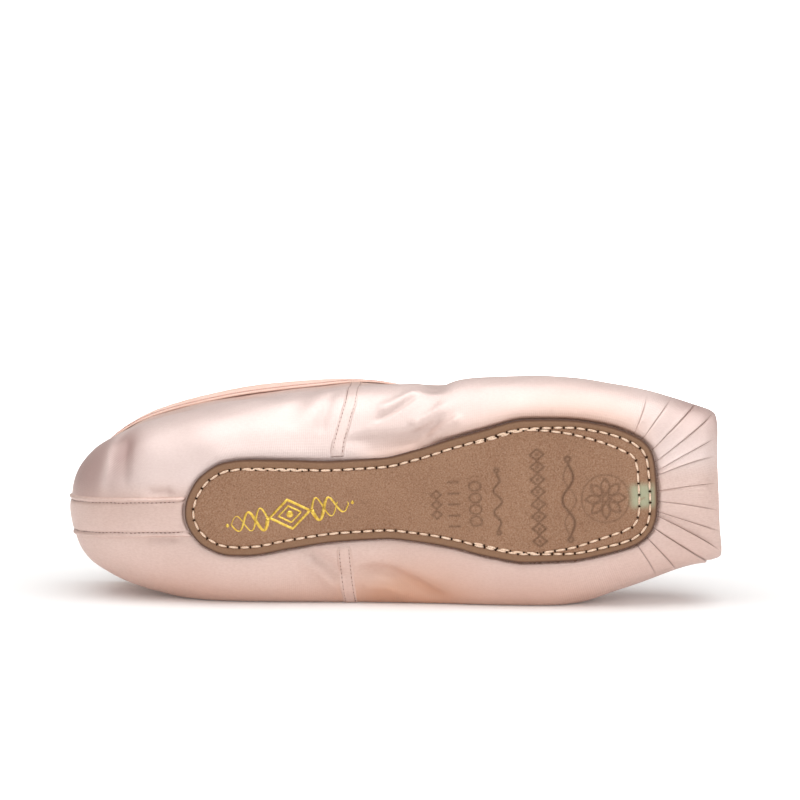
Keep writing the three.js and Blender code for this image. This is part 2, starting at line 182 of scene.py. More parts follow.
# The skin of the shoe. A ring number goes from 0 at the heel to 13 at the toe, right side first
# A height number is 0 at the sole's edge, 1 at the widest line, 2 at the collar or the vamp's ridge
class Cuts:
    def __init__(self, ring):
        ring = np.asarray(ring, float) % ROUND
        self.left = ring > TOE
        self.index = np.where(self.left, ROUND - ring, ring)
        self.foot = foot_at(self.index)
        angle = np.radians(angle_at(self.index))
        self.cos = np.cos(angle)
        self.sin = np.sin(angle)
        self.wide_reach = self.reach(body_width)
        self.sole_reach = self.reach(sole_width)
        widest_x = self.foot + self.wide_reach * self.cos
        crown_x = np.where(self.cos < 0, widest_x, self.foot)
        self.widest = widest_height(widest_x)
        self.square = squareness(crown_x)
        crown = crown_height(crown_x)
        collar = collar_height(crown_x)
        share = np.clip((collar - self.widest) / (crown - self.widest), 0, 1)
        self.open = self.index < THROAT_CUT - 1e-9
        self.crown = crown
        self.collar = np.where(self.open, collar, crown)
        turn = np.arcsin(share ** (self.square / 2))
        self.turn = np.where(self.open, turn, math.pi / 2)
        self.splay = self.pick(collar_splay, widest_x)

    def pick(self, curves, x):
        return np.where(self.left, curves[LEFT](x), curves[RIGHT](x))

    def reach(self, widths):
        def inside(r):
            return r * self.sin < self.pick(widths, self.foot + r * self.cos)
        return search(inside, 0, 80, self.foot.shape)

    def place(self, r, z, inset, recess=0):
        x = soft_limit(self.foot + r * self.cos, LENGTH - inset, PLATFORM_SOFTNESS)
        y = r * self.sin
        floor = floor_at(x) - inset - recess
        y = np.where(self.left, soft_limit(y, floor, FLOOR_SOFTNESS), -y)
        return np.stack(np.broadcast_arrays(x, y, z), -1)

    def lower(self, v, inset):
        turn = np.minimum(v, 1) * math.pi / 2
        r = lerp(self.sole_reach, self.wide_reach - inset, np.sin(turn))
        edge_x = self.foot + self.sole_reach * self.cos
        bottom = tread_rise(edge_x) + SOLE_THICKNESS + FIT_GAP + inset
        return self.place(r, self.widest - (self.widest - bottom) * np.cos(turn), inset)

    def upper(self, turn, inset):
        power = 2 / self.square
        height = self.crown - inset - self.widest
        z = self.widest + height * np.maximum(0, np.sin(turn)) ** power
        rise = smoothstep(z, self.widest + 3, self.collar)
        r = (self.wide_reach - inset) * np.maximum(0, np.cos(turn)) ** power + self.splay * rise
        band = np.where(self.open, smoothstep(z, self.collar - 19, self.collar - 13), 0)
        return self.place(r, z, inset, band * (BINDING_GAP + TAPE_THICKNESS))

    def skin(self, v, inset=0):
        turn = (np.maximum(v, 1) - 1) * self.turn
        is_low = (v <= 1)[..., None]
        return np.where(is_low, self.lower(v, inset), self.upper(turn, inset))

    def margin(self, share, inset):
        edge = self.lower(np.zeros_like(self.foot), inset)
        x = lerp(self.foot, edge[..., 0], share)
        z = edge[..., 2] + tread_rise(x) - tread_rise(edge[..., 0])
        return np.stack([x, edge[..., 1] * share, z], -1)

    def reach_forward(self, v, inset):
        widest = self.wide_reach - inset
        low = lerp(self.sole_reach, widest, np.sin(np.minimum(v, 1) * math.pi / 2))
        bend = np.maximum(0, np.cos((np.maximum(v, 1) - 1) * math.pi / 2))
        return self.foot + np.where(v <= 1, low, widest * bend ** (2 / self.square)) * self.cos


# Rows of the toe box that are moved onto the platform's rim, as in the part's source
RIM_ROWS = (0.54, 0.76, 1.13, 1.27)
RIM_LEAD = 14


def rim_rows(cuts, v, inset):
    start = LENGTH - inset - PLATFORM_SOFTNESS
    end = LENGTH - inset + PLATFORM_SOFTNESS
    shape = cuts.foot.shape
    ones = np.ones(shape)
    gather = smoothstep(cuts.reach_forward(ones, inset), start - RIM_LEAD, start)

    def under(x):
        return search(lambda s: cuts.reach_forward(s, inset) < x, 0, 1, shape)

    def over(x):
        return search(lambda s: cuts.reach_forward(s, inset) > x, 1, 2, shape)

    found = (under(start), under(end), over(end), over(start))
    marks = [np.where(gather < 1, lerp(row, ones, gather), at) for row, at in zip(RIM_ROWS, found)]
    from_marks = [0, RIM_ROWS[0], RIM_ROWS[1], 1, RIM_ROWS[2], RIM_ROWS[3], 2]
    to_marks = [0 * ones, marks[0], marks[1], ones, marks[2], marks[3], 2 * ones]
    moved = np.array(v, float) * ones
    for i in range(1, 7):
        low, high = from_marks[i - 1], from_marks[i]
        inside = (v > low) & (v <= high)
        part = (v - low) / (high - low)
        moved = np.where(inside, lerp(to_marks[i - 1], to_marks[i], part), moved)
    return moved


def wall_at(x):
    return lerp(QUARTER_WALL, BOX_WALL, smoothstep(x, 140, 165))


# From the upright shoe in millimetres to the part's frame in metres
def to_frame(points):
    x, y, z = points[..., 0], points[..., 1], points[..., 2]
    across = x * math.cos(LEAN) + y * math.sin(LEAN) + SHIFT[0]
    up = x * math.sin(LEAN) - y * math.cos(LEAN) + SHIFT[2]
    return np.stack([across, z + SHIFT[1], up], -1) / 1000


def turn_to_frame(directions):
    return (to_frame(directions) - to_frame(np.zeros(3))) * 1000


# Grids of points
def unit(vectors):
    return vectors / (np.linalg.norm(vectors, axis=-1, keepdims=True) + 1e-12)


MIDDLE_FROM = 60
MIDDLE_TO = 200
MIDDLE_HEIGHT = 25


def facing_out(normals, points):
    middle = np.zeros_like(points)
    middle[..., 0] = np.clip(points[..., 0], MIDDLE_FROM, MIDDLE_TO)
    middle[..., 2] = MIDDLE_HEIGHT
    outwards = ((points - middle) * normals).sum(-1, keepdims=True)
    return normals * np.where(outwards < 0, -1, 1)


# The grid closes on itself from its last column to its first
def grid_normals(points):
    around = np.roll(points, -1, 0) - np.roll(points, 1, 0)
    return facing_out(unit(np.cross(around, np.gradient(points, axis=1))), points)


# How far each point is from the first one, measured along the points
def run_length(points, axis=0):
    steps = np.linalg.norm(np.diff(points, axis=axis), axis=-1)
    start = np.zeros_like(steps.take([0], axis))
    return np.concatenate([start, np.cumsum(steps, axis)], axis)


def distance_from(points, place, stretch=1):
    return np.linalg.norm((points - np.array(place, float)) / stretch, axis=-1)


def grid_quads(columns, rows, close_columns, close_rows):
    index = np.arange(columns * rows).reshape(columns, rows)
    if close_columns:
        index = np.concatenate([index, index[:1]], 0)
    if close_rows:
        index = np.concatenate([index, index[:, :1]], 1)
    quads = [index[:-1, :-1], index[1:, :-1], index[1:, 1:], index[:-1, 1:]]
    return np.stack(quads, -1).reshape(-1, 4)


def fan_cap(indices, is_last):
    loop = list(indices)
    half = len(loop) // 2
    quads = [(loop[j], loop[j + 1], loop[-2 - j], loop[-1 - j]) for j in range(half - 1)]
    return [quad[::-1] if is_last else quad for quad in quads]


def volume_sign(points, faces):
    total = 0.0
    for face in faces:
        a = points[face[0]]
        for j in range(1, len(face) - 1):
            b, c = points[face[j]], points[face[j + 1]]
            total += a[0] * (b[1] * c[2] - b[2] * c[1])
            total += a[1] * (b[2] * c[0] - b[0] * c[2])
            total += a[2] * (b[0] * c[1] - b[1] * c[0])
    return 1 if total >= 0 else -1


def put_in_scene(name, data):
    made = bpy.data.objects.new(name, data)
    bpy.context.scene.collection.objects.link(made)
    return made


WELD = 5e-4


# Makes one mesh object. Points are upright and in millimetres; doubles are welded first
def make_piece(name, points, faces, materials, face_materials=None, uv=None, attributes=None):
    points = points.reshape(-1, 3)
    _, first, back = np.unique(np.round(points / WELD).astype(np.int64), axis=0,
                               return_index=True, return_inverse=True)
    back = back.reshape(-1)
    kept, kinds = [], []
    for i, face in enumerate(faces):
        corners = tuple(dict.fromkeys(int(back[k]) for k in face))
        if len(corners) > 2:
            kept.append(corners)
            kinds.append(0 if face_materials is None else int(face_materials[i]))
    placed = to_frame(points[first])
    centred = (placed - placed.mean(0)).tolist()
    if volume_sign(centred, kept) < 0:
        kept = [face[::-1] for face in kept]
    mesh = bpy.data.meshes.new(name)
    mesh.from_pydata(placed.tolist(), [], kept)
    for material in materials:
        mesh.materials.append(material)
    mesh.polygons.foreach_set("material_index", kinds)
    mesh.polygons.foreach_set("use_smooth", [True] * len(kept))
    for label, values in (attributes or {}).items():
        layer = mesh.attributes.new(label, "FLOAT", "POINT")
        layer.data.foreach_set("value", values.reshape(-1)[first].astype(np.float32))
    if uv is not None:
        corner = np.zeros(len(mesh.loops), np.int32)
        mesh.loops.foreach_get("vertex_index", corner)
        layer = mesh.uv_layers.new(name="cloth")
        layer.data.foreach_set("uv", uv.reshape(-1, 2)[first][corner].astype(np.float32).ravel())
    mesh.validate()
    return put_in_scene(name, mesh)


def finish_piece(piece, slot, *replaced):
    if replaced:
        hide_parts(*replaced)
    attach(piece, "root")


def distance_to_path(points, path):
    shape = points.shape[:-1]
    flat = points.reshape(-1, points.shape[-1])
    path = np.asarray(path, float)
    best = np.full(len(flat), 1e9)
    along = np.zeros(len(flat))
    lengths = np.linalg.norm(np.diff(path, axis=0), axis=1)
    whole = lengths.sum()
    done = 0.0
    for a, b, length in zip(path[:-1], path[1:], lengths):
        if length < 1e-9:
            continue
        t = np.clip(((flat - a) @ (b - a)) / length ** 2, 0, 1)
        gap = np.linalg.norm(flat - a - t[:, None] * (b - a), axis=1)
        closer = gap < best
        best = np.where(closer, gap, best)
        along = np.where(closer, (done + t * length) / whole, along)
        done += length
    return best.reshape(shape), along.reshape(shape)


# A smooth path through a few points
def rounded_path(points, steps=8):
    points = np.asarray(points, float)
    padded = np.concatenate([2 * points[:1] - points[1:2], points, 2 * points[-1:] - points[-2:-1]])
    t = (np.arange(steps) / steps)[:, None]
    path = []
    for i in range(1, len(padded) - 2):
        a, b, c, d = padded[i - 1:i + 3]
        path.append(0.5 * (2 * b + (c - a) * t + (2 * a - 5 * b + 4 * c - d) * t ** 2
                           + (3 * b - a - 3 * c + d) * t ** 3))
    return np.concatenate(path + [points[-1:]])


# Gentle unevenness from a few crossing waves, the same on every run
def unevenness(points, wavelength, seed):
    draw = np.random.default_rng(seed)
    total = np.zeros(points.shape[:-1])
    for _ in range(7):
        direction = unit(draw.normal(size=3))
        size = wavelength * draw.uniform(0.6, 1.6)
        total += np.sin(points @ direction * 2 * math.pi / size + draw.uniform(0, 7))
    return total / 3


# What the finishes and the geometry trees share
class Nodes:
    def add(self, kind, links=(), **settings):
        made = self.tree.nodes.new(kind)
        for label, value in settings.items():
            setattr(made, label, value)
        for socket, value in links:
            if isinstance(value, bpy.types.NodeSocket):
                self.tree.links.new(value, made.inputs[socket])
            else:
                made.inputs[socket].default_value = value
        return made

    def math(self, kind, a, b=0.0):
        return self.add("ShaderNodeMath", [(0, a), (1, b)], operation=kind).outputs[0]


# The colour sockets of a Mix node, by number
MIX_SHARE, MIX_FIRST, MIX_SECOND, MIX_RESULT = 0, 6, 7, 2


# A Principled shader with its colour, roughness and relief worked out by nodes
class Finish(Nodes):
    def __init__(self, name, roughness=0.5, **constants):
        self.material = bpy.data.materials.new(name)
        self.material.use_nodes = True
        self.tree = self.material.node_tree
        self.shader = self.tree.nodes["Principled BSDF"]
        self.shader.inputs["Roughness"].default_value = roughness
        for label, value in constants.items():
            self.shader.inputs[label.replace("_", " ")].default_value = value
        self.bump_before = None

    def place(self, stretch=(1, 1, 1), source="Object"):
        coordinates = self.add("ShaderNodeTexCoord")
        vector = coordinates.outputs[source]
        return self.add("ShaderNodeMapping", [("Vector", vector), ("Scale", stretch)]).outputs[0]

    def noise(self, scale, detail=2, vector=None, roughness=0.5):
        vector = vector or self.place()
        settings = [("Vector", vector), ("Scale", scale), ("Detail", detail), ("Roughness", roughness)]
        return self.add("ShaderNodeTexNoise", settings).outputs["Fac"]

    def waves(self, scale, vector, distortion=0.0, direction="X"):
        settings = [("Vector", vector), ("Scale", scale), ("Distortion", distortion)]
        return self.add("ShaderNodeTexWave", settings, bands_direction=direction).outputs["Fac"]

    def attribute(self, label):
        return self.add("ShaderNodeAttribute", attribute_name=label).outputs["Fac"]

    def ramp(self, value, low, high, start=0.0, end=1.0):
        settings = [("Value", value), ("From Min", low), ("From Max", high),
                    ("To Min", start), ("To Max", end)]
        return self.add("ShaderNodeMapRange", settings).outputs["Result"]

    def mix(self, share, a, b):
        links = [(MIX_SHARE, share), (MIX_FIRST, a), (MIX_SECOND, b)]
        return self.add("ShaderNodeMix", links, data_type="RGBA").outputs[MIX_RESULT]

    def feed(self, label, value):
        self.tree.links.new(value, self.shader.inputs[label])

    def relief(self, height, depth, strength=1.0):
        settings = [("Height", height), ("Distance", depth), ("Strength", strength)]
        if self.bump_before:
            settings.append(("Normal", self.bump_before))
        self.bump_before = self.add("ShaderNodeBump", settings).outputs[0]
        self.feed("Normal", self.bump_before)


def shade(red, green, blue):
    linear = [c / 255 / 12.92 if c <= 10 else ((c / 255 + 0.055) / 1.055) ** 2.4
              for c in (red, green, blue)]
    return (*linear, 1.0)


def satin_finish():
    satin = Finish("peach_satin", 0.4, Specular_IOR_Level=1.0, IOR=1.8, Metallic=0.25, Sheen_Weight=0.12,
                   Sheen_Roughness=0.35, Sheen_Tint=(1.0, 0.92, 0.88, 1.0))
    drift = satin.noise(28, 3)
    tone = satin.mix(satin.ramp(drift, 0.35, 0.65), shade(220, 191, 180), shade(214, 182, 170))
    fleck = satin.noise(900, 2, satin.place((1, 1, 2.2)))
    tone = satin.mix(satin.ramp(fleck, 0.35, 0.7, 0, 0.32), tone, shade(190, 150, 134))
    # Painted highlight: the satin is mixed towards a pale colour along the side that faces up
    tone = satin.mix(satin.attribute("painted_highlight"), tone, shade(250, 240, 240))
    # Painted shade: dark satin along the pleats' fold lines, in the creases and along the sole's edge
    tone = satin.mix(satin.attribute("painted_fold_shade"), tone, shade(118, 74, 58))
    # Painted warm shade: darker, warmer satin near the floor and beside the sole
    tone = satin.mix(satin.attribute("painted_warm_shade"), tone, shade(204, 152, 122))
    # Painted shade and painted dark reflection on the heel and the toe's upper corner
    tone = satin.mix(satin.attribute("painted_shade_patch"), tone, shade(158, 118, 110))
    satin.feed("Base Color", tone)
    satin.feed("Roughness", satin.ramp(satin.noise(60, 3), 0.3, 0.7, 0.42, 0.52))
    cloth = satin.place((1, 1, 1), "UV")
    warp = satin.waves(420, cloth, 0.6)
    weft = satin.waves(300, cloth, 0.8, "Y")
    weave = satin.math("ADD", warp, satin.math("MULTIPLY", weft, 0.5))
    satin.relief(weave, 0.00005, 0.6)
    satin.relief(satin.noise(260, 3), 0.0001, 0.35)
    return satin.material


def canvas_finish():
    canvas = Finish("lining_canvas", 0.86, Sheen_Weight=0.2)
    cloth = canvas.place((1, 1, 1), "UV")
    warp = canvas.waves(260, cloth, 0.5)
    weft = canvas.waves(260, cloth, 0.5, "Y")
    weave = canvas.math("MULTIPLY", warp, weft)
    tone = canvas.mix(canvas.ramp(canvas.noise(45, 4), 0.35, 0.7), shade(226, 210, 190),
                      shade(206, 186, 162))
    tone = canvas.mix(canvas.ramp(weave, 0.0, 0.35, 0.3, 0.0), tone, shade(160, 138, 114))
    canvas.feed("Base Color", tone)
    canvas.relief(weave, 0.00015, 0.7)
    canvas.relief(canvas.noise(150, 3), 0.0003, 0.3)
    return canvas.material


def leather_finish():
    leather = Finish("sole_leather_nap", 0.82, Specular_IOR_Level=0.25, Sheen_Weight=0.15,
                     Sheen_Roughness=0.5)
    patches = leather.noise(38, 4)
    tone = leather.mix(leather.ramp(patches, 0.32, 0.7), shade(140, 102, 77), shade(152, 114, 88))
    nap = leather.noise(2100, 3, roughness=0.7)
    tone = leather.mix(leather.ramp(nap, 0.4, 0.74, 0, 0.6), tone, shade(190, 156, 130))
    pits = leather.noise(1700, 2, roughness=0.6)
    tone = leather.mix(leather.ramp(pits, 0.5, 0.78, 0, 0.55), tone, shade(100, 68, 48))
    tone = leather.mix(leather.attribute("rim"), tone, shade(134, 102, 78))
    tone = leather.mix(leather.attribute("pressed"), tone, shade(66, 42, 28))
    smudge = leather.math("MULTIPLY", leather.attribute("smudge"),
                          leather.ramp(leather.noise(420, 2), 0.2, 0.42))
    tone = leather.mix(smudge, tone, shade(170, 174, 146))
    tone = leather.mix(leather.attribute("edge"), tone, shade(88, 58, 42))
    leather.feed("Base Color", tone)
    leather.relief(nap, 0.00016, 0.8)
    leather.relief(leather.noise(420, 3), 0.00022, 0.5)
    return leather.material


def tape_finish():
    tape = Finish("binding_tape_peach", 0.55, Sheen_Weight=0.3)
    tone = tape.mix(tape.ramp(tape.noise(70, 3), 0.35, 0.65), shade(252, 224, 210),
                    shade(246, 212, 196))
    rib = tape.math("SINE", tape.math("MULTIPLY", tape.attribute("along"), 2 * math.pi / 0.0008), 0.0)
    tone = tape.mix(tape.ramp(rib, -1, 1, 0, 0.35), tone, shade(214, 166, 146))
    # Painted shade in the dip of the binding where its stitches run
    tone = tape.mix(tape.attribute("groove"), tone, shade(206, 150, 128))
    tape.feed("Base Color", tone)
    tape.relief(tape.noise(900, 2), 0.00005, 0.6)
    return tape.material


def thread_finish(name, light, dark):
    thread = Finish(name, 0.6, Sheen_Weight=0.2)
    twist = thread.noise(2600, 2)
    thread.feed("Base Color", thread.mix(thread.ramp(twist, 0.35, 0.65), light, dark))
    thread.relief(twist, 0.0001, 0.7)
    return thread.material


# Painted shade: a near-black bead stands in for the shadow inside each awl hole
def hole_shade_finish():
    hole = Finish("awl_hole_shade", 0.95, Specular_IOR_Level=0.1)
    hole.feed("Base Color", hole.mix(hole.noise(900, 1), shade(38, 24, 18), shade(66, 44, 32)))
    return hole.material


def foil_finish():
    foil = Finish("gold_foil", 0.3, Metallic=1.0)
    worn = foil.noise(700, 3, roughness=0.7)
    foil.feed("Base Color", foil.mix(foil.ramp(worn, 0.4, 0.7), shade(243, 210, 104), shade(205, 160, 60)))
    foil.feed("Roughness", foil.ramp(foil.noise(300, 3), 0.3, 0.7, 0.24, 0.5))
    foil.relief(worn, 0.00008, 0.6)
    return foil.material


SATIN = satin_finish()
CANVAS = canvas_finish()
LEATHER = leather_finish()
TAPE = tape_finish()
SOLE_THREAD = thread_finish("sole_thread", shade(246, 220, 196), shade(214, 176, 146))
FINE_THREAD = thread_finish("fine_thread", shade(160, 116, 104), shade(126, 88, 78))
HEEL_THREAD = thread_finish("heel_thread", shade(140, 104, 96), shade(106, 74, 68))
BINDING_THREAD = thread_finish("binding_thread", shade(222, 140, 122), shade(190, 104, 90))
FRAY_FIBRE = thread_finish("leather_fibre", shade(150, 112, 86), shade(104, 72, 52))
HOLE_SHADE = hole_shade_finish()
FOIL = foil_finish()


# Satin upper: the pleats under the toe, the creases and the puffed edge round the sole
# A fold line's cuts at the sole and at the rim, counted from the toe's middle, height, fading end
PLEATS = [
    (2.41, 2.56, 0.30, 0.75), (2.22, 2.20, 0.35, 0.85), (1.87, 1.82, 0.55, 1.0),
    (1.54, 1.52, 0.75, 1.1), (1.26, 1.13, 0.70, 1.0), (1.09, 0.71, 0.55, 0.9),
    (0.30, 0.17, 0.50, 0.8), (0.24, -0.10, 0.45, 0.95), (-0.39, -0.55, 0.50, 1.0),
    (-0.94, -0.96, 0.60, 1.0), (-1.13, -1.42, 0.75, 1.1), (-1.59, -1.66, 0.60, 1.0),
    (-1.94, -2.12, 0.45, 0.9), (-2.24, -2.43, 0.30, 0.75),
]
PLEAT_COLUMNS = 13
FOLD_GAP = 0.012
FAN_START = 9.4
FAN_END = ROUND - FAN_START
PLEAT_STRAIGHT = 0.9


def pleat_lines():
    lines = [(TOE - at_sole, TOE - at_rim, 0.75 * height, 0.92 * end)
             for at_sole, at_rim, height, end in PLEATS]
    return [(FAN_START, FAN_START, 0, 1)] + lines + [(FAN_END, FAN_END, 0, 1)]


# The columns of the upper: even on the heel and the sides, between the fold lines at the toe
def upper_columns(v):
    heel = np.linspace(0, 4, 64, endpoint=False)
    side = np.linspace(4, FAN_START, 104, endpoint=False)
    before = np.concatenate([heel, side])
    after = (ROUND - before)[::-1][:-1]
    rings = [np.full((1, len(v)), ring) for ring in before]
    relief = [np.zeros((1, len(v))) for _ in before]
    foot = [np.zeros((1, len(v))) for _ in before]
    lines = pleat_lines()
    across = np.minimum(v / PLEAT_STRAIGHT, 1)
    for j, (near, far) in enumerate(zip(lines[:-1], lines[1:])):
        near_line = lerp(near[0], near[1], across)
        far_line = lerp(far[0], far[1], across)
        middle = (near[1] + far[1]) / 2
        count = PLEAT_COLUMNS + (12 if j in (0, len(lines) - 2) else 0)
        for i in range(count):
            share = 0.5 - 0.5 * math.cos(math.pi * i / (count - 1))
            eased = FOLD_GAP + (1 - 2 * FOLD_GAP) * share
            rings.append(lerp(near_line, far_line, eased)[None])
            lip, rise = (far, share) if middle < TOE else (near, 1 - share)
            if j in (0, len(lines) - 2):
                rise = rise ** 3
            fade = 1 - smoothstep(v, lip[3] - 0.45, lip[3])
            swell = rise ** 1.6 + 0.25 * bell(rise - 0.93, 0.06)
            dip = bell(rise, 0.06) if 0 < j < len(lines) - 2 else 0
            relief.append((lip[2] * fade * (swell - 0.45 * dip))[None])
            # Painted shade along the foot of each pleat's fold line
            foot.append((fade * bell(rise, 0.035) * (dip > 0) * (lip[2] + 0.3))[None])
    rings += [np.full((1, len(v)), ring) for ring in after]
    relief += [np.zeros((1, len(v))) for _ in after]
    foot += [np.zeros((1, len(v))) for _ in after]
    return np.concatenate(rings), np.concatenate(relief), np.concatenate(foot)


# Creases, one by one: points on the skin, depth (a ridge is negative), half-width
CREASES = [
    ([(115, -30.2, 7.9), (123.7, -34.4, 9.4), (132.5, -39.3, 12.6)], 0.9, 1.0),
    ([(116, -33.5, 9.6), (125, -37, 11.4), (133.5, -40.5, 14.5)], -0.7, 2.2),
    ([(136.5, -38.8, 11.7), (137.8, -41.3, 15.8), (138.5, -42.3, 22), (139, -41.8, 32)], 1.3, 4.5),
    ([(105.4, -23.9, 6), (116.2, -23.9, 6), (127.8, -24.2, 5.2), (136.3, -27.4, 4.9),
      (142.8, -31.2, 5.1)], 1.3, 2.2),
    ([(128, -27.5, 6.5), (137, -31.5, 6.6), (144, -35.5, 8.2)], -0.8, 2.4),
    ([(135, -24.2, 4.4), (139.8, -26.7, 4.3), (148.6, -31.4, 4.2)], -0.9, 1.8),
    ([(110, -20.5, 5.2), (122, -21, 5), (134, -23.4, 4.6)], 0.7, 2.0),
    ([(87.7, 17.1, 4.2), (94.6, 23.5, 6.1), (100.9, 30.7, 9.6)], -1.1, 2.6),
    ([(89.5, 14.5, 4), (97, 20.5, 5.6), (103.5, 28, 8.4)], 0.8, 2.4),
    ([(106, 24, 6.4), (117.4, 24.6, 7.1), (126.3, 29.1, 7.9), (133.3, 33.3, 9.3),
      (141, 35.4, 11)], 1.4, 2.6),
    ([(108, 29.5, 8.8), (118, 30.5, 9), (126, 34, 11)], -0.8, 2.6),
    ([(120, 18.8, 5.2), (131, 25, 5), (140, 30, 6)], -0.6, 3.0),
    ([(104, 36.2, 16), (112, 37.4, 24), (118, 36.8, 34)], 0.6, 3.5),
    ([(19, -27, 21), (17.4, -16.2, 11.6), (16.1, -8.4, 10)], -0.5, 2.0),
    ([(25, -28.5, 18), (24, -18, 9), (23.5, -9, 6.5)], 0.5, 2.4),
    ([(31.5, -8.4, 4.8), (43, -8.2, 3.1)], 0.7, 1.5),
    ([(30.5, 8.8, 5), (44, 8.9, 3.1)], 0.7, 1.5),
    ([(96, -41.6, 30), (88, -36, 12), (84, -28, 6)], 0.5, 3.5),
    ([(101, -40, 20), (97.5, -33, 9.5), (96, -26, 6)], 0.7, 2.2),
    ([(150, -42, 30), (152, -37, 40), (153, -28, 48)], 0.5, 4.0),
    ([(146, -42, 26), (144, -38, 38), (142, -33, 46)], 0.45, 3.2),
    ([(148, 41, 30), (147, 36, 40), (146, 30, 47)], 0.45, 3.2),
    ([(160, -30, 48), (164, -10, 54), (163, 10, 54), (160, 28, 48)], 0.35, 3.0),
    ([(172, -36, 38), (176, -18, 48), (177, 2, 51)], 0.35, 4.0),
    ([(60, -38.5, 36), (72, -40.5, 27), (86, -40.2, 20)], 0.45, 4.0),
    ([(58, 37, 40), (74, 38, 30), (88, 36.4, 21)], 0.5, 4.0),
    ([(40, -33.5, 34), (48, -35.6, 26), (60, -36, 18)], 0.35, 3.5),
]
PUFF = [
    (40, 0.7, 0.7), (60, 0.5, 0.7), (84, 0.4, 0.8), (100, 0.3, 0.7), (118, -0.1, 0.5),
    (135, 0.2, 0.7), (150, 1.3, 0.9), (180, 1.5, 1.1), (205, 1.2, 1.1), (225, 0.8, 0.8),
]
PUFF_PEAK = 2.4
CREASE_REACH = 45
CREASE_DEPTH = 1.35
DEEPEST_CREASE = 1.35


# The pleated toe sits a little inside the plain shape, and the heel a little outside it
def shape_ease(points):
    x, y = points[..., 0], points[..., 1]
    at_corner = smoothstep(x, 224, 236) * smoothstep(np.abs(y), 14, 25)
    toe = 0.55 * smoothstep(x, 205, 225) * (1 - 0.9 * at_corner)
    flat = 0.45 * smoothstep(x, 234, 239) * (1 - smoothstep(np.abs(y), 8, 24))
    heel = 1.1 * (1 - smoothstep(x, 2, 24)) * (1 - smoothstep(points[..., 2], 34, 46))
    return toe + flat - heel


def crease_relief(points):
    relief = np.zeros(points.shape[:-1])
    shade_of_folds = np.zeros(points.shape[:-1])
    for path, depth, width in CREASES:
        path = rounded_path(path)
        near = distance_from(points, path.mean(0)) < CREASE_REACH
        gap, along = distance_to_path(points[near], path)
        ends = smoothstep(along, 0, 0.22) * (1 - smoothstep(along, 0.78, 1)) * 0.85 + 0.15
        trough = bell(gap, width) * ends
        relief[near] -= CREASE_DEPTH * depth * trough
        shade_of_folds[near] += max(depth, 0) * trough * 0.16
    return relief, shade_of_folds


def edge_puff(points, from_edge, is_left):
    x = points[..., 0]
    height = np.where(is_left, smooth_curve(PUFF, LEFT)(x), smooth_curve(PUFF, RIGHT)(x))
    share = from_edge / PUFF_PEAK
    return height * share * np.exp(1 - share)


# How far the cloth stands off the plain shape, and how much painted shade its folds get
def cloth_relief(points, from_edge, is_left, calm=1.0):
    creases, fold_shade = crease_relief(points)
    floor_side = smoothstep(points[..., 1], 28, 36)
    soft = 0.16 * unevenness(points, 26, 5) + 0.05 * unevenness(points, 7, 6)
    loose = -soft_limit(-creases, DEEPEST_CREASE, 0.3) + soft * (1 - 0.7 * floor_side)
    return calm * loose + edge_puff(points, from_edge, is_left) - shape_ease(points), fold_shade


# Keeps points on the lying side above the floor
def off_floor(points, room):
    points = points.copy()
    points[..., 1] = np.minimum(points[..., 1], floor_at(points[..., 0]) - room)
    return points


CROWN_FROM = 1.9
RIM_CALM = 0.9
RIM_DEPTH = 6
BINDING_COVERS = (1.68, 1.8)
SATIN_ROOM = 0.25
LOW_ROWS = 46
HIGH_ROWS = 50
INNER_ROWS = (2, 1.9, 1.75, 1.6, 1.45, 1.3, 1.15, 1.05, 1, 0.9, 0.75, 0.6, 0.45, 0.3, 0.12, 0)


def upper_rows():
    low = np.linspace(0, 1, LOW_ROWS, endpoint=False) ** 1.15
    high = 1 + np.linspace(0, 1, HIGH_ROWS)
    return np.concatenate([low, high])


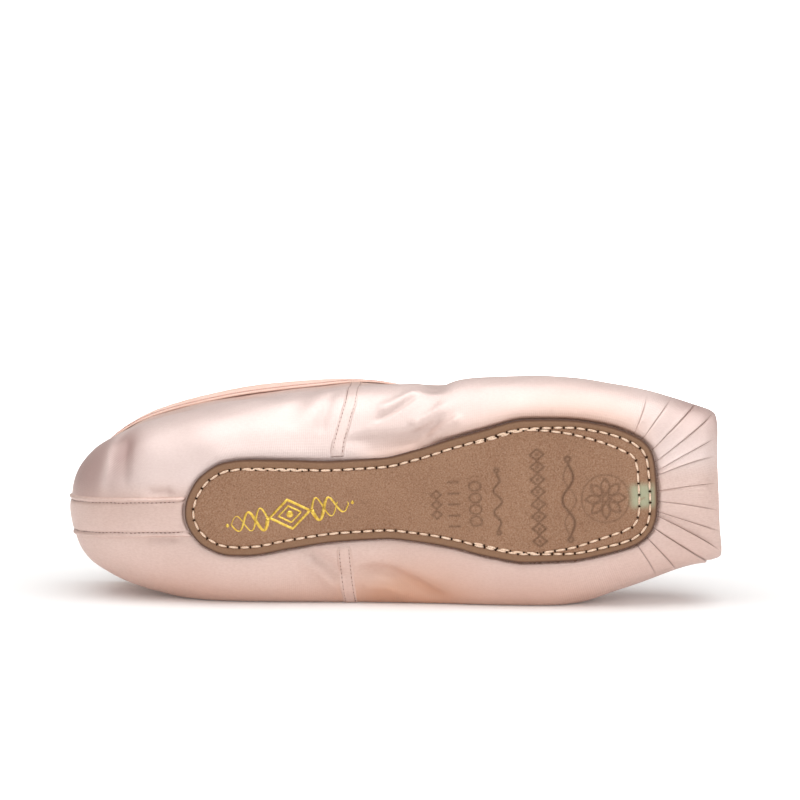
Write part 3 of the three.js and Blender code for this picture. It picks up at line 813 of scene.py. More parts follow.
def satin_upper():
    v = upper_rows()
    rings, pleats, pleat_line_shade = upper_columns(v)
    cuts = Cuts(rings)
    rows = rim_rows(cuts, np.broadcast_to(v, rings.shape), 0)
    skin = cuts.skin(rows)
    normals = grid_normals(skin)
    from_edge = run_length(skin, 1)
    crown = int(np.searchsorted(v, CROWN_FROM))
    normals[:, crown:] = normals[:, crown:crown + 1]
    on_rim = smoothstep(skin[..., 0], LENGTH - RIM_DEPTH, LENGTH - 0.5)
    under_binding = smoothstep(rows, *BINDING_COVERS) * cuts.open
    calm = (1 - RIM_CALM * on_rim) * (1 - under_binding)
    relief, fold_shade = cloth_relief(skin, from_edge, cuts.left, calm)
    relief = relief + pleats * smoothstep(from_edge, -0.6, 2.5) * (1 - RIM_CALM * on_rim)
    outer = off_floor(skin + normals * relief[..., None], SATIN_ROOM)

    inner_v = np.broadcast_to(np.array(INNER_ROWS, float), (len(skin), len(INNER_ROWS)))
    inner_cuts = Cuts(np.broadcast_to(rings[:, -1:], inner_v.shape))
    wall = lerp(QUARTER_WALL, wall_at(inner_cuts.foot), smoothstep(inner_v, 0, 0.7))
    inner = inner_cuts.skin(rim_rows(inner_cuts, inner_v, wall), wall)
    edge_cuts = Cuts(rings[:, 0])
    shares = (MARGIN_SHARE, 0.7, 0.85, 0.95)
    margin_out = np.stack([edge_cuts.margin(share, 0) for share in shares], 1)
    margin_in = np.stack([edge_cuts.margin(share, QUARTER_WALL) for share in shares[::-1]], 1)
    whole = np.concatenate([margin_out, outer, inner, margin_in], 1)

    columns, count = whole.shape[:2]
    quads = grid_quads(columns, count, True, True)
    lining_from = len(shares) + len(v)
    row_of = quads[:, 0] % count
    column_of = quads[:, 0] // count
    on_vamp = ~cuts.open[:, -1]
    both_vamp = on_vamp[column_of] & on_vamp[(column_of + 1) % columns]
    keep = ~((row_of == lining_from - 1) & both_vamp)
    quads, row_of = quads[keep], row_of[keep]
    kinds = (row_of >= lining_from - 1).astype(int)

    def widened(values):
        full = np.zeros(whole.shape[:2])
        full[:, len(shares):lining_from] = values
        return full

    # Painted shade: darker satin along the pleats' fold lines, in the creases and in a band along the
    # sole's edge
    groove = np.exp(-from_edge / 0.6) * 0.25
    painted_fold_shade = np.clip(pleat_line_shade * 1.1 * (1 - on_rim) + fold_shade * calm + groove, 0, 0.85)
    uv = cloth_uv(whole)
    return make_piece("satin_upper", whole, quads, [SATIN, CANVAS], kinds, uv, {
        "painted_fold_shade": widened(painted_fold_shade),
        "painted_warm_shade": widened(painted_warm_shade_places(skin, from_edge)),
        "painted_shade_patch": widened(painted_shade_patches(skin)),
        "painted_highlight": widened(painted_highlight_side(skin)),
    })


# Lengths along and across the cloth, in metres
def cloth_uv(points):
    row = points.shape[1] // 2
    around = np.broadcast_to(run_length(points)[:, row:row + 1], points.shape[:2])
    return np.stack([around, run_length(points, 1)], -1) / 1000


# Painted warm shade: darker, warmer satin near the floor, along the sole's edge at the waist on the upper
# side, and in three spots
def painted_warm_shade_places(points, from_edge):
    places = [((125, 34, 9), 13, 0.9), ((190, -27, 4), 14, 0.2), ((228, -24, 14), 8, 0.15)]
    from_floor = floor_at(points[..., 0]) - points[..., 1]
    total = 0.42 * bell(from_floor, 9) * (1 - smoothstep(points[..., 0], 185, 215))
    waist = smoothstep(points[..., 0], 100, 125) * (1 - smoothstep(points[..., 0], 205, 222))
    total += 0.6 * waist * np.exp(-from_edge / 6) * (points[..., 1] < 0)
    for place, size, strength in places:
        total += strength * bell(distance_from(points, place, (1.6, 1, 1)), size)
    return np.clip(total, 0, 1)


# Painted highlight: the satin's colour is paler along the side that faces up, where the light falls
def painted_highlight_side(points):
    upward = smoothstep(-points[..., 1], 4, 14) * (1 - smoothstep(points[..., 2], 24, 36))
    return 0.3 * upward


# Painted shade and painted dark reflection: darker satin on the heel's upper side and beside it, and at the
# toe's upper corner, lighter along one crease of the heel
def painted_shade_patches(points):
    near = distance_from(points, (10, -19, 17), (1.3, 1.2, 1))
    beside = distance_from(points, (25, -24, 14), (0.7, 1.3, 1))
    corner = distance_from(points, (229, -26, 22), (1.2, 0.8, 1))
    streak, _ = distance_to_path(points, np.array([(21, -29, 24), (17.5, -17, 12), (16, -8.4, 10.0)]))
    painted_shade_patch = 0.7 * bell(near, 13, 4) + 0.6 * bell(beside, 9) + 0.75 * bell(corner, 12)
    return np.clip(painted_shade_patch, 0, 0.8) * (1 - 0.75 * bell(streak, 2.6))


# Outsole: its outline as a dense line of points, and paths at a distance inside it
def above_tread(x, y, height):
    return np.stack([x, y, tread_rise(x) + height], -1)


def sole_outline(count=900):
    share = np.linspace(0, math.pi, count)
    x = lerp(SOLE[0][0], SOLE[-1][0], (1 - np.cos(share)) / 2)
    right = np.stack([x, -sole_width[RIGHT](x)], -1)
    left = np.stack([x, sole_width[LEFT](x)], -1)[::-1][1:-1]
    return np.concatenate([right, left])


def even_spacing(path, count, closed):
    if closed:
        path = np.concatenate([path, path[:1]])
    done = run_length(path)
    at = np.linspace(0, done[-1], count, endpoint=not closed)
    return np.stack([np.interp(at, done, path[:, k]) for k in range(path.shape[1])], -1)


def inside_outline(inset, count=700):
    path = even_spacing(sole_outline(), count, True)
    along = unit(np.roll(path, -3, 0) - np.roll(path, 3, 0))
    inwards = np.stack([-along[:, 1], along[:, 0]], -1)
    gap = inset(path) if callable(inset) else inset
    return path + inwards * (np.ones(len(path)) * gap)[:, None]


ROW_INSET = 3.3
TOE_ROW_INSET = 2.7
INNER_ROW_DEPTH = 3.9
SPLIT_AT = {RIGHT: 173, LEFT: 177}


def main_row():
    def inset(path):
        return lerp(ROW_INSET, TOE_ROW_INSET, smoothstep(path[:, 0], 165, 190))
    return inside_outline(inset)


def inner_row():
    def inset(path):
        return lerp(ROW_INSET, TOE_ROW_INSET + INNER_ROW_DEPTH, smoothstep(path[:, 0], 166, 208))
    path = inside_outline(inset, 1400)
    start = np.where(path[:, 1] < 0, SPLIT_AT[RIGHT], SPLIT_AT[LEFT])
    return path[path[:, 0] > start]


# Generic blind-pressed ornament across the forefoot: rows of lozenges, rings and waves
def wave_across(x, low, high, swing, turns):
    y = np.linspace(low, high, 60)
    share = (y - low) / (high - low)
    fade = np.sin(share * math.pi) ** 0.5
    return np.stack([x + swing * np.sin(share * turns * 2 * math.pi) * fade, y], -1)


def ring_path(x, y, radius, squeeze=1.0):
    turn = np.linspace(0, 2 * math.pi, 25)
    return np.stack([x + radius * np.cos(turn) * squeeze, y + radius * np.sin(turn)], -1)


def lozenge_path(x, y, long, wide):
    return np.array([(x - wide, y), (x, y + long), (x + wide, y), (x, y - long), (x - wide, y)], float)


def turning(angle):
    cos, sin = math.cos(angle), math.sin(angle)
    return np.array([[cos, sin], [-sin, cos]])


def petal_path(x, y, angle, near, far, width):
    share = np.linspace(0, 1, 13)
    r = lerp(near, far, share)
    bulge = width * np.sin(share * math.pi)
    there = np.stack([r, bulge], -1)
    back = np.stack([r, -bulge], -1)[::-1]
    path = np.concatenate([there, back])
    return path @ turning(angle) + (x, y)


# Path, width, depth of each pressed line
def pressed_lines():
    lines = [(lozenge_path(137.5, y, 1.5, 1.8), 0.34, 0.30) for y in (-3.6, 0, 3.6)]
    lines += [(np.array([(141.8, y), (145.6, y)]), 0.34, 0.30) for y in (-8, -4, 0, 4, 8)]
    lines += [(ring_path(151.5, y, 1.7, 1.25), 0.34, 0.28) for y in (-6.3, -2.1, 2.1, 6.3)]
    lines += [(ring_path(159.5, y, 0.7), 0.42, 0.32) for y in (-11.8, 10.8)]
    lines += [(lozenge_path(174, y, 2.0, 2.5), 0.34, 0.36) for y in np.linspace(-16.8, 14.4, 8)]
    lines += [(ring_path(174, y, 0.3), 0.36, 0.3) for y in np.linspace(-16.8, 14.4, 8)]
    lines += [(ring_path(185, y, 0.9), 0.44, 0.36) for y in (-14.8, 14.2)]
    lines += [(petal_path(198, 0, k * math.pi / 4, 1.6, 7.2, 1.5), 0.36, 0.30) for k in range(8)]
    return lines + [
        (wave_across(159.5, -10.5, 9.5, 1.6, 2.5), 0.42, 0.34),
        (wave_across(185, -13.5, 13.5, 2.4, 1.5), 0.42, 0.42),
        (wave_across(185, -13.5, 13.5, -2.4, 1.5), 0.26, 0.26),
        (ring_path(198, 0, 1.1), 0.36, 0.30),
        (ring_path(198, 0, 8.6), 0.32, 0.22),
    ]


HEEL_END = 8
TOE_END = 7


# Where the sole is cut across: close together at its two ends
def sole_stations():
    near = 1 - np.cos(np.linspace(0, math.pi / 2, 26, endpoint=False))
    far = 1 - np.sin(np.linspace(0, math.pi / 2, 40)[1:])
    start, end = SOLE[0][0], SOLE[-1][0]
    middle = np.linspace(start + HEEL_END, end - TOE_END, 372)
    return np.clip(np.concatenate([start + HEEL_END * near, middle, end - TOE_END * far]), start, end)


SOLE_ROWS = 116
EDGE_ROWS = 4
GROOVE_WIDTH = 0.62
FRAYED = [((178, 20), 22, 0.45), ((214, 10), 9, 0.4), ((200, -27), 12, 0.3), ((150, -25), 14, 0.2)]


def fray(points):
    total = np.zeros(points.shape[:-1])
    for place, size, strength in FRAYED:
        total += strength * bell(distance_from(points, place), size)
    rough = np.random.default_rng(11)
    wobble = np.zeros(points.shape[:-1])
    for _ in range(12):
        size = rough.uniform(0.9, 3.2)
        direction = unit(rough.normal(size=2))
        wobble += np.sin(points @ direction * 2 * math.pi / size + rough.uniform(0, 7))
    return (total + 0.08) * wobble / 4


def outsole_leather():
    x = sole_stations()
    bend = math.pi / 2 * 0.86
    across = np.sin(np.linspace(-1, 1, SOLE_ROWS) * bend) / math.sin(bend)
    right, left = sole_width[RIGHT](x), sole_width[LEFT](x)
    y = lerp(-right[:, None], left[:, None], (across[None] + 1) / 2)
    plan = np.stack([np.broadcast_to(x[:, None], y.shape), y], -1)
    edge = even_spacing(sole_outline(), 1100, True)
    edge = np.concatenate([edge, edge[:1]])
    inset, _ = distance_to_path(plan, edge)

    press = np.zeros(inset.shape)
    for path, width, depth in pressed_lines():
        near = distance_from(plan, path.mean(0)) < 26
        gap, _ = distance_to_path(plan[near], path)
        press[near] = np.maximum(press[near], depth * bell(gap, width))
    groove = np.zeros(inset.shape)
    closed_row = main_row()
    for row in (np.concatenate([closed_row, closed_row[:1]]), inner_row()):
        gap, _ = distance_to_path(plan, row)
        groove = np.maximum(groove, bell(gap, GROOVE_WIDTH))
    bevel = 0.75 * (1 - np.clip(inset / 1.1, 0, 1)) ** 2
    crown = -0.18 * smoothstep(inset, 2, 9)
    solid = np.stack([plan[..., 0], plan[..., 1], 0 * inset], -1)
    nap = 0.035 * unevenness(solid, 3.5, 21) + 0.07 * unevenness(solid, 17, 22)
    depth = press + 0.38 * groove + bevel + crown + nap
    top = above_tread(plan[..., 0], plan[..., 1], depth)

    along = unit(np.gradient(np.stack([x, left], -1), axis=0))
    frayed = fray(np.stack([x, left], -1))[:, None] * np.stack([-along[:, 1], along[:, 0]], -1)
    top[:, -1, :2] += 0.5 * frayed
    frayed_right = fray(np.stack([x, -right], -1))
    top[:, 0, 1] -= 0.5 * frayed_right
    side_heights = np.linspace(0.9, SOLE_THICKNESS, EDGE_ROWS)
    left_side = np.stack([above_tread(x, left, height) for height in side_heights], 1)
    right_side = np.stack([above_tread(x, -right, height) for height in side_heights], 1)
    left_side[:, :-1, :2] += frayed[:, None] * 0.7
    right_side[:, :-1, 1] -= frayed_right[:, None] * 0.7
    back_shares = np.linspace(0.9, -0.9, 7)
    back = np.stack([above_tread(x, lerp(-right, left, (share + 1) / 2), SOLE_THICKNESS)
                     for share in back_shares], 1)
    whole = np.concatenate([top, left_side, back, right_side[:, ::-1]], 1)
    quads = grid_quads(len(x), whole.shape[1], False, True)

    def on_top(values, elsewhere):
        full = np.full(whole.shape[:2], float(elsewhere))
        full[:, :SOLE_ROWS] = values
        return full

    smudge = np.exp(-(np.abs((plan - (211.2, -0.4)) / (4.4, 4.4)) ** 6).sum(-1))
    return make_piece("outsole_leather", whole, quads, [LEATHER], None, None, {
        "rim": on_top(0.75 * (1 - smoothstep(inset, 2.2, 3.6)), 0.5),
        "pressed": on_top(np.clip(press * 1.5, 0, 0.6), 0),
        "smudge": on_top(0.85 * smudge, 0),
        "edge": on_top(1 - smoothstep(inset, 0.25, 1.0), 1),
    })


# Geometry node trees. Each is built here with named inputs
class NodeTree(Nodes):
    def __init__(self, name, inputs):
        self.tree = bpy.data.node_groups.new(name, "GeometryNodeTree")
        self.keys = {}
        geometry = "NodeSocketGeometry"
        self.tree.interface.new_socket("Geometry", in_out="INPUT", socket_type=geometry)
        for label, kind in inputs:
            made = self.tree.interface.new_socket(label, in_out="INPUT", socket_type=kind)
            self.keys[label] = made.identifier
        self.tree.interface.new_socket("Geometry", in_out="OUTPUT", socket_type=geometry)
        self.given = self.tree.nodes.new("NodeGroupInput").outputs
        self.result = self.tree.nodes.new("NodeGroupOutput").inputs[0]

    def attribute(self, label, kind):
        found = self.add("GeometryNodeInputNamedAttribute", [("Name", label)], data_type=kind)
        return found.outputs["Attribute"]

    def scaled(self, vector, factor):
        links = [("Vector", vector), ("Scale", factor)]
        return self.add("ShaderNodeVectorMath", links, operation="SCALE").outputs[0]

    def sized(self, x, y, z):
        return self.add("ShaderNodeCombineXYZ", [("X", x), ("Y", y), ("Z", z)]).outputs[0]

    def end(self, geometry):
        self.tree.links.new(geometry, self.result)

    # Even steps along the row of points that comes in
    def steps(self, pitch):
        row = self.add("GeometryNodeMeshToCurve", [("Mesh", self.given["Geometry"])]).outputs[0]
        links = [("Curve", row), ("Length", pitch)]
        return self.add("GeometryNodeResampleCurve", links, mode="LENGTH").outputs[0]

    # Points one axis along the first direction, then turns about it towards the second
    def aligned(self, axis, direction, next_axis, next_direction):
        kind = "FunctionNodeAlignRotationToVector"
        first = self.add(kind, [("Vector", direction)], axis=axis).outputs[0]
        links = [("Rotation", first), ("Vector", next_direction)]
        return self.add(kind, links, axis=next_axis, pivot_axis=axis).outputs[0]

    def turned(self, rotation, *angles):
        turn = self.add("FunctionNodeEulerToRotation", [("Euler", self.sized(*angles))]).outputs[0]
        links = [("Rotation", rotation), ("Rotate By", turn)]
        return self.add("FunctionNodeRotateRotation", links, rotation_space="LOCAL").outputs[0]

    def random(self, low, high, seed_shift):
        seed = self.math("ADD", self.given["Seed"], seed_shift)
        links = [(2, low), (3, high), ("Seed", seed)]
        return self.add("FunctionNodeRandomValue", links, data_type="FLOAT").outputs[1]

    def swing(self, most, seed_shift):
        return self.random(self.math("MULTIPLY", most, -1.0), most, seed_shift)

    def reshaped(self, shape, **change):
        links = [("Geometry", shape)] + list(change.items())
        return self.add("GeometryNodeTransform", links).outputs[0]

    def made_of(self, geometry, material):
        whole = self.add("GeometryNodeRealizeInstances", [("Geometry", geometry)]).outputs[0]
        return self.add("GeometryNodeSetMaterial", [("Geometry", whole), ("Material", material)]).outputs[0]

    def copies(self, points, shape, rotation, scale, material):
        links = [("Points", points), ("Instance", shape), ("Rotation", rotation), ("Scale", scale)]
        return self.made_of(self.add("GeometryNodeInstanceOnPoints", links).outputs[0], material)


FLOAT = "NodeSocketFloat"
COUNT = "NodeSocketInt"
SURFACE = "NodeSocketMaterial"
SHORTEST_THREAD = 0.86
LONGEST_THREAD = 1.1
HOLE_WIDENING = 1.7
SHORTEST_FIBRE = 0.25


# A row of stitches: a thread lying on the surface at every step, and a hole between two, drawn as a dark
# bead that is painted shade for the awl hole
def stitch_tree():
    tree = NodeTree("stitch_row", [
        ("Pitch", FLOAT), ("Thread length", FLOAT), ("Thread width", FLOAT), ("Thread height", FLOAT),
        ("Hole size", FLOAT), ("Hole depth", FLOAT), ("Unevenness", FLOAT), ("Seed", COUNT),
        ("Thread", SURFACE), ("Hole", SURFACE),
    ])
    given = tree.given
    steps = tree.steps(given["Pitch"])
    tangent = tree.add("GeometryNodeInputTangent").outputs[0]
    rotation = tree.aligned("X", tangent, "Z", tree.attribute("facing", "FLOAT_VECTOR"))
    rotation = tree.turned(rotation, 0.0, 0.0, tree.swing(given["Unevenness"], 0.0))
    ball = tree.add("GeometryNodeMeshUVSphere", [("Segments", 8), ("Rings", 6), ("Radius", 0.5)]).outputs[0]
    ball = tree.add("GeometryNodeSetShadeSmooth", [("Geometry", ball)]).outputs[0]
    standing = tree.reshaped(ball, Rotation=(0, math.pi / 2, 0))
    thread_size = tree.sized(given["Thread length"], given["Thread width"], given["Thread height"])
    stretch = tree.sized(tree.random(SHORTEST_THREAD, LONGEST_THREAD, 7.0), 1.0, 1.0)
    thread = tree.reshaped(standing, Scale=thread_size)
    threads = tree.copies(steps, thread, rotation, stretch, given["Thread"])
    half = tree.scaled(tangent, tree.math("MULTIPLY", given["Pitch"], 0.5))
    between = tree.add("GeometryNodeSetPosition", [("Geometry", steps), ("Offset", half)]).outputs[0]
    wide = tree.math("MULTIPLY", given["Hole size"], HOLE_WIDENING)
    hole = tree.reshaped(ball, Scale=tree.sized(given["Hole size"], wide, given["Hole depth"]))
    holes = tree.copies(between, hole, rotation, (1, 1, 1), given["Hole"])
    both = tree.add("GeometryNodeJoinGeometry", [("Geometry", holes), ("Geometry", threads)])
    tree.end(both.outputs[0])
    return tree


# Short fibres that stand out of a rough cut edge
def fibre_tree():
    tree = NodeTree("edge_fibres", [
        ("Spacing", FLOAT), ("Fibre length", FLOAT), ("Fibre width", FLOAT), ("Spread", FLOAT),
        ("Seed", COUNT), ("Fibre", SURFACE),
    ])
    given = tree.given
    tangent = tree.add("GeometryNodeInputTangent").outputs[0]
    rotation = tree.aligned("Z", tree.attribute("facing", "FLOAT_VECTOR"), "X", tangent)
    angles = [tree.swing(given["Spread"], float(k)) for k in range(2)]
    rotation = tree.turned(rotation, *angles, 0.0)
    fibre = tree.add("GeometryNodeMeshCone", [
        ("Vertices", 4), ("Radius Top", 0.0), ("Radius Bottom", given["Fibre width"]),
        ("Depth", given["Fibre length"])]).outputs[0]
    size = tree.random(SHORTEST_FIBRE, 1.0, 5.0)
    tree.end(tree.copies(tree.steps(given["Spacing"]), fibre, rotation, size, given["Fibre"]))
    return tree


# Fine ribs across a tape, raised along its own length
def rib_tree():
    tree = NodeTree("tape_ribs", [("Rib pitch", FLOAT), ("Rib height", FLOAT), ("Tape", SURFACE)])
    given = tree.given
    turns = tree.math("DIVIDE", tree.attribute("along", "FLOAT"), given["Rib pitch"])
    swing = tree.math("COSINE", tree.math("MULTIPLY", turns, 2 * math.pi))
    height = tree.math("MULTIPLY", tree.math("MULTIPLY", swing, given["Rib height"]),
                       tree.attribute("ribbed", "FLOAT"))
    normal = tree.add("GeometryNodeInputNormal").outputs[0]
    raised = tree.add("GeometryNodeSetPosition",
                      [("Geometry", given["Geometry"]), ("Offset", tree.scaled(normal, height))]).outputs[0]
    tree.end(tree.made_of(raised, given["Tape"]))
    return tree


# Runs a tree on an object and puts the plain mesh that it makes in its place
def grown(piece, tree, **values):
    modifier = piece.modifiers.new(tree.tree.name, "NODES")
    modifier.node_group = tree.tree
    for label, value in values.items():
        modifier[tree.keys[label.replace("_", " ")]] = value
    bpy.context.view_layer.update()
    graph = bpy.context.evaluated_depsgraph_get()
    mesh = bpy.data.meshes.new_from_object(piece.evaluated_get(graph), depsgraph=graph)
    piece.modifiers.remove(modifier)
    piece.data = mesh
    return piece


# A line of points on a surface, with the way the surface faces at each
def surface_row(name, points, facing, closed=False):
    mesh = bpy.data.meshes.new(name)
    count = len(points)
    edges = [(i, i + 1) for i in range(count - 1)] + ([(count - 1, 0)] if closed else [])
    mesh.from_pydata(to_frame(np.asarray(points)).tolist(), edges, [])
    layer = mesh.attributes.new("facing", "FLOAT_VECTOR", "POINT")
    layer.data.foreach_set("vector", turn_to_frame(unit(facing)).astype(np.float32).ravel())
    return put_in_scene(name, mesh)


STITCHES = stitch_tree()
FIBRES = fibre_tree()
RIBS = rib_tree()
MM = 0.001


# Pitch, thread length, width and height, hole size and depth in millimetres, then unevenness
STITCH_SIZES = ("Pitch", "Thread_length", "Thread_width", "Thread_height", "Hole_size", "Hole_depth")
SOLE_STITCH = (4.1, 3.4, 0.8, 0.62, 0.68, 0.5, 0.05)
HEEL_STITCH = (1.65, 1.05, 0.42, 0.3, 0.14, 0.2, 0.12)
SEAM_STITCH = (1.6, 1.0, 0.36, 0.24, 0.14, 0.2, 0.1)
BINDING_STITCH = (1.7, 1.25, 0.24, 0.2, 0.22, 0.22, 0.05)


def stitches(name, points, facing, kind, thread, seed, closed=False):
    sizes = {label: size * MM for label, size in zip(STITCH_SIZES, kind)}
    row = surface_row(name, points, facing, closed)
    row = grown(row, STITCHES, Unevenness=kind[-1], Seed=seed, Thread=thread, Hole=HOLE_SHADE, **sizes)
    finish_piece(row, "stitch_thread")


DOWN = np.array([0, 0, -1.0])
DOUBLED_AHEAD = 0.9
# Name, side of the sole, start, end, shift across, seed
DOUBLED = [
    ("heel", -1, 70, 87, 0.35, 11), ("right", -1, 153, 172, 0.4, 12), ("left", 1, 151, 170, -0.4, 13),
]


def on_tread(path, lift):
    return above_tread(path[:, 0], path[:, 1], -lift)


# Which points of a path lie between two places on one side, or on either where side is 0
def on_stretch(path, side, start, end):
    on_side = (side == 0) | (path[:, 1] * side > 0)
    return on_side & (path[:, 0] > start) & (path[:, 0] < end)


def sole_stitches():
    rows = [("round", main_row(), True, 1), ("toe", inner_row(), False, 5)] + doubled_rows()
    for name, path, closed, seed in rows:
        facing = np.broadcast_to(DOWN, (len(path), 3))
        stitches("sole_stitches_" + name, on_tread(path, -0.02), facing, SOLE_STITCH, SOLE_THREAD,
                 seed, closed)


# Where the thread starts and ends, a second run of stitches lies close beside the first
def doubled_rows():
    path = main_row()
    found = []
    for name, side, start, end, aside, seed in DOUBLED:
        part = path[on_stretch(path, side, start, end)] + (DOUBLED_AHEAD, 0) + (0, aside)
        found.append((name, part[np.argsort(part[:, 0])], False, seed))
    return found


# Name, side of the sole, start, end, spacing of the fibres, seed
FRAYED_EDGES = [
    ("left", 1, 152, 200, 0.22, 31), ("toe", 0, 205, LENGTH, 0.3, 32), ("right", -1, 140, 205, 0.8, 33),
]


def sole_fibres():
    path = even_spacing(sole_outline(), 1400, True)
    outwards = path - np.roll(path, 1, 0)
    outwards = unit(np.stack([outwards[:, 1], -outwards[:, 0]], -1))
    for name, side, start, end, spacing, seed in FRAYED_EDGES:
        order = np.nonzero(on_stretch(path, side, start, end))[0]
        breaks = np.nonzero(np.diff(order) > 1)[0]
        if len(breaks):
            order = np.concatenate([order[breaks[0] + 1:], order[:breaks[0] + 1]])
        out = outwards[order]
        facing = np.stack([out[:, 0], out[:, 1], np.full(len(out), -0.35)], -1)
        row = surface_row("sole_fibres_" + name, on_tread(path[order] - out * 0.15, -1.1), facing)
        piece = grown(row, FIBRES, Spacing=spacing * MM, Fibre_length=1.3 * MM, Fibre_width=0.07 * MM,
                      Spread=0.9, Seed=seed, Fibre=FRAY_FIBRE)
        finish_piece(piece, "sole_leather")


# Strips that lie on the skin: the heel strip and the two side seams
def ring_where(value_at, target, low, high):
    return search(lambda ring: value_at(ring) < target, low, high, target.shape)


def skin_facing(ring, v):
    nudge = 0.01
    here = Cuts(ring).skin(v)
    normals = unit(np.cross(Cuts(ring + nudge).skin(v) - here, Cuts(ring).skin(v + nudge) - here))
    return here, facing_out(normals, here)


STRIP_ROOM = 0.05
STITCH_ROOM = 0.35
STRIP_ROOT = 0.5


# A closed strip between a low and a high side, both measured from the skin
def strip_mesh(name, here, normals, low, high, attributes):
    above = off_floor(here + normals * high[..., None], STRIP_ROOM)
    below = here + normals * low[..., None]
    whole = np.concatenate([above, below[:, ::-1]], 1)
    rows = whole.shape[1]
    quads = grid_quads(len(whole), rows, False, True).tolist()
    quads += fan_cap(range(rows), False)
    quads += fan_cap(range(rows * (len(whole) - 1), rows * len(whole)), True)
    along = run_length(here[:, here.shape[1] // 2])
    across = run_length(here[0])
    flat = np.stack(np.broadcast_arrays(across[None], along[:, None]), -1) / 1000
    uv = np.concatenate([flat, flat[:, ::-1]], 1)
    full = {label: np.concatenate([values, values[:, ::-1]], 1) for label, values in attributes.items()}
    return make_piece(name, whole, quads, [SATIN], None, uv, full)


def strip_stitches(name, place, facing, lift, is_left, kind, thread, seed):
    relief, _ = cloth_relief(place, run_length(place), is_left)
    points = off_floor(place + facing * (relief + lift)[:, None], STITCH_ROOM)
    stitches(name, points, facing, kind, thread, seed)


HEEL_ROW_AT = 5.5
STRIP_ASIDE = 1.0
STRIP_START = 0.011


def strip_end():
    top = Cuts(0.0).skin(np.array(2.0))
    room = BINDING_LEG + 2 * FIT_GAP

    def clear(v):
        return np.linalg.norm(Cuts(np.zeros(())).skin(v) - top) > room
    return float(search(clear, 1, 2))


def strip_places(v, across):
    v, across = np.broadcast_arrays(v, across)
    across = across + STRIP_ASIDE * (1 - smoothstep(v, 0.9, 1.6))
    target = np.abs(across)
    sign = np.where(across < 0, 1, -1)

    def sideways(index):
        return np.abs(Cuts(sign * index).skin(v)[..., 1])
    index = ring_where(sideways, target, 0, 3)
    return skin_facing(sign * index + np.where(np.abs(across) < 1e-6, 1e-4, 0), v)


def heel_strip_tape():
    v = np.linspace(STRIP_START, strip_end(), 150)[:, None]
    across = np.linspace(-1, 1, 45)[None] * (STRIP_HALF_WIDTH + 0.5)
    here, normals = strip_places(v, across)
    side = np.abs(across) * np.ones_like(v)
    rim = bell(side - 6.5, 0.6)
    seam = bell(side - HEEL_ROW_AT, 0.42)
    pucker = unevenness(here * (1, 0.2, 1), 3.4, 9) * bell(side - 6.3, 0.9)
    long_wave = unevenness(here, 15, 8)
    belly = 0.35 * (1 - np.clip(side / HEEL_ROW_AT, 0, 1) ** 2)
    base, _ = cloth_relief(here, run_length(here), False)
    body = 0.4 + 0.5 * rim - 0.4 * seam + 0.14 * pucker + belly * (0.6 + 0.4 * long_wave)
    high = base + body * (1 - smoothstep(side, 6.8, 7.5)) - 0.1 * smoothstep(side, 7.2, 7.5)
    # Painted shade along the stitch rows of the heel strip
    painted_fold_shade = 0.16 * seam
    zero = np.zeros_like(painted_fold_shade)
    tape = strip_mesh("heel_strip_tape", here, normals, base - STRIP_ROOT, high,
                      {"painted_fold_shade": painted_fold_shade, "painted_warm_shade": zero, "painted_shade_patch": zero})
    finish_piece(tape, "satin", "heel_strip")
    v_row = np.linspace(STRIP_START + 0.01, strip_end() - 0.01, 160)
    for name, at, seed in (("right", -HEEL_ROW_AT, 3), ("left", HEEL_ROW_AT, 4)):
        wander = 0.12 * np.sin(v_row * 31 + seed)
        place, facing = strip_places(v_row, np.full(160, at) + wander)
        strip_stitches("heel_stitches_" + name, place, facing, 0.06, False, HEEL_STITCH, HEEL_THREAD, seed)


# Where the side seams stand: height number, distance from the heel
SEAM_AT = {
    RIGHT: [(0, 102), (0.15, 103), (0.34, 105), (0.65, 107.6), (1, 108.2), (1.5, 108), (2, 107.6)],
    LEFT: [(0, 103), (0.3, 103.3), (0.6, 103.8), (1, 104.2), (1.5, 104.2), (2, 104)],
}
SEAM_HALF_WIDTH = 2.75
SEAM_ROW_AT = 1.75


def seam_places(side, v, across):
    v, across = np.broadcast_arrays(v, across)
    target = smooth_curve(SEAM_AT[side], 1)(v) + across
    sign = 1 if side == RIGHT else -1

    def forward(index):
        return Cuts(sign * index).skin(v)[..., 0]
    index = ring_where(forward, target, 3.5, 7.5)
    return skin_facing(sign * index, v)


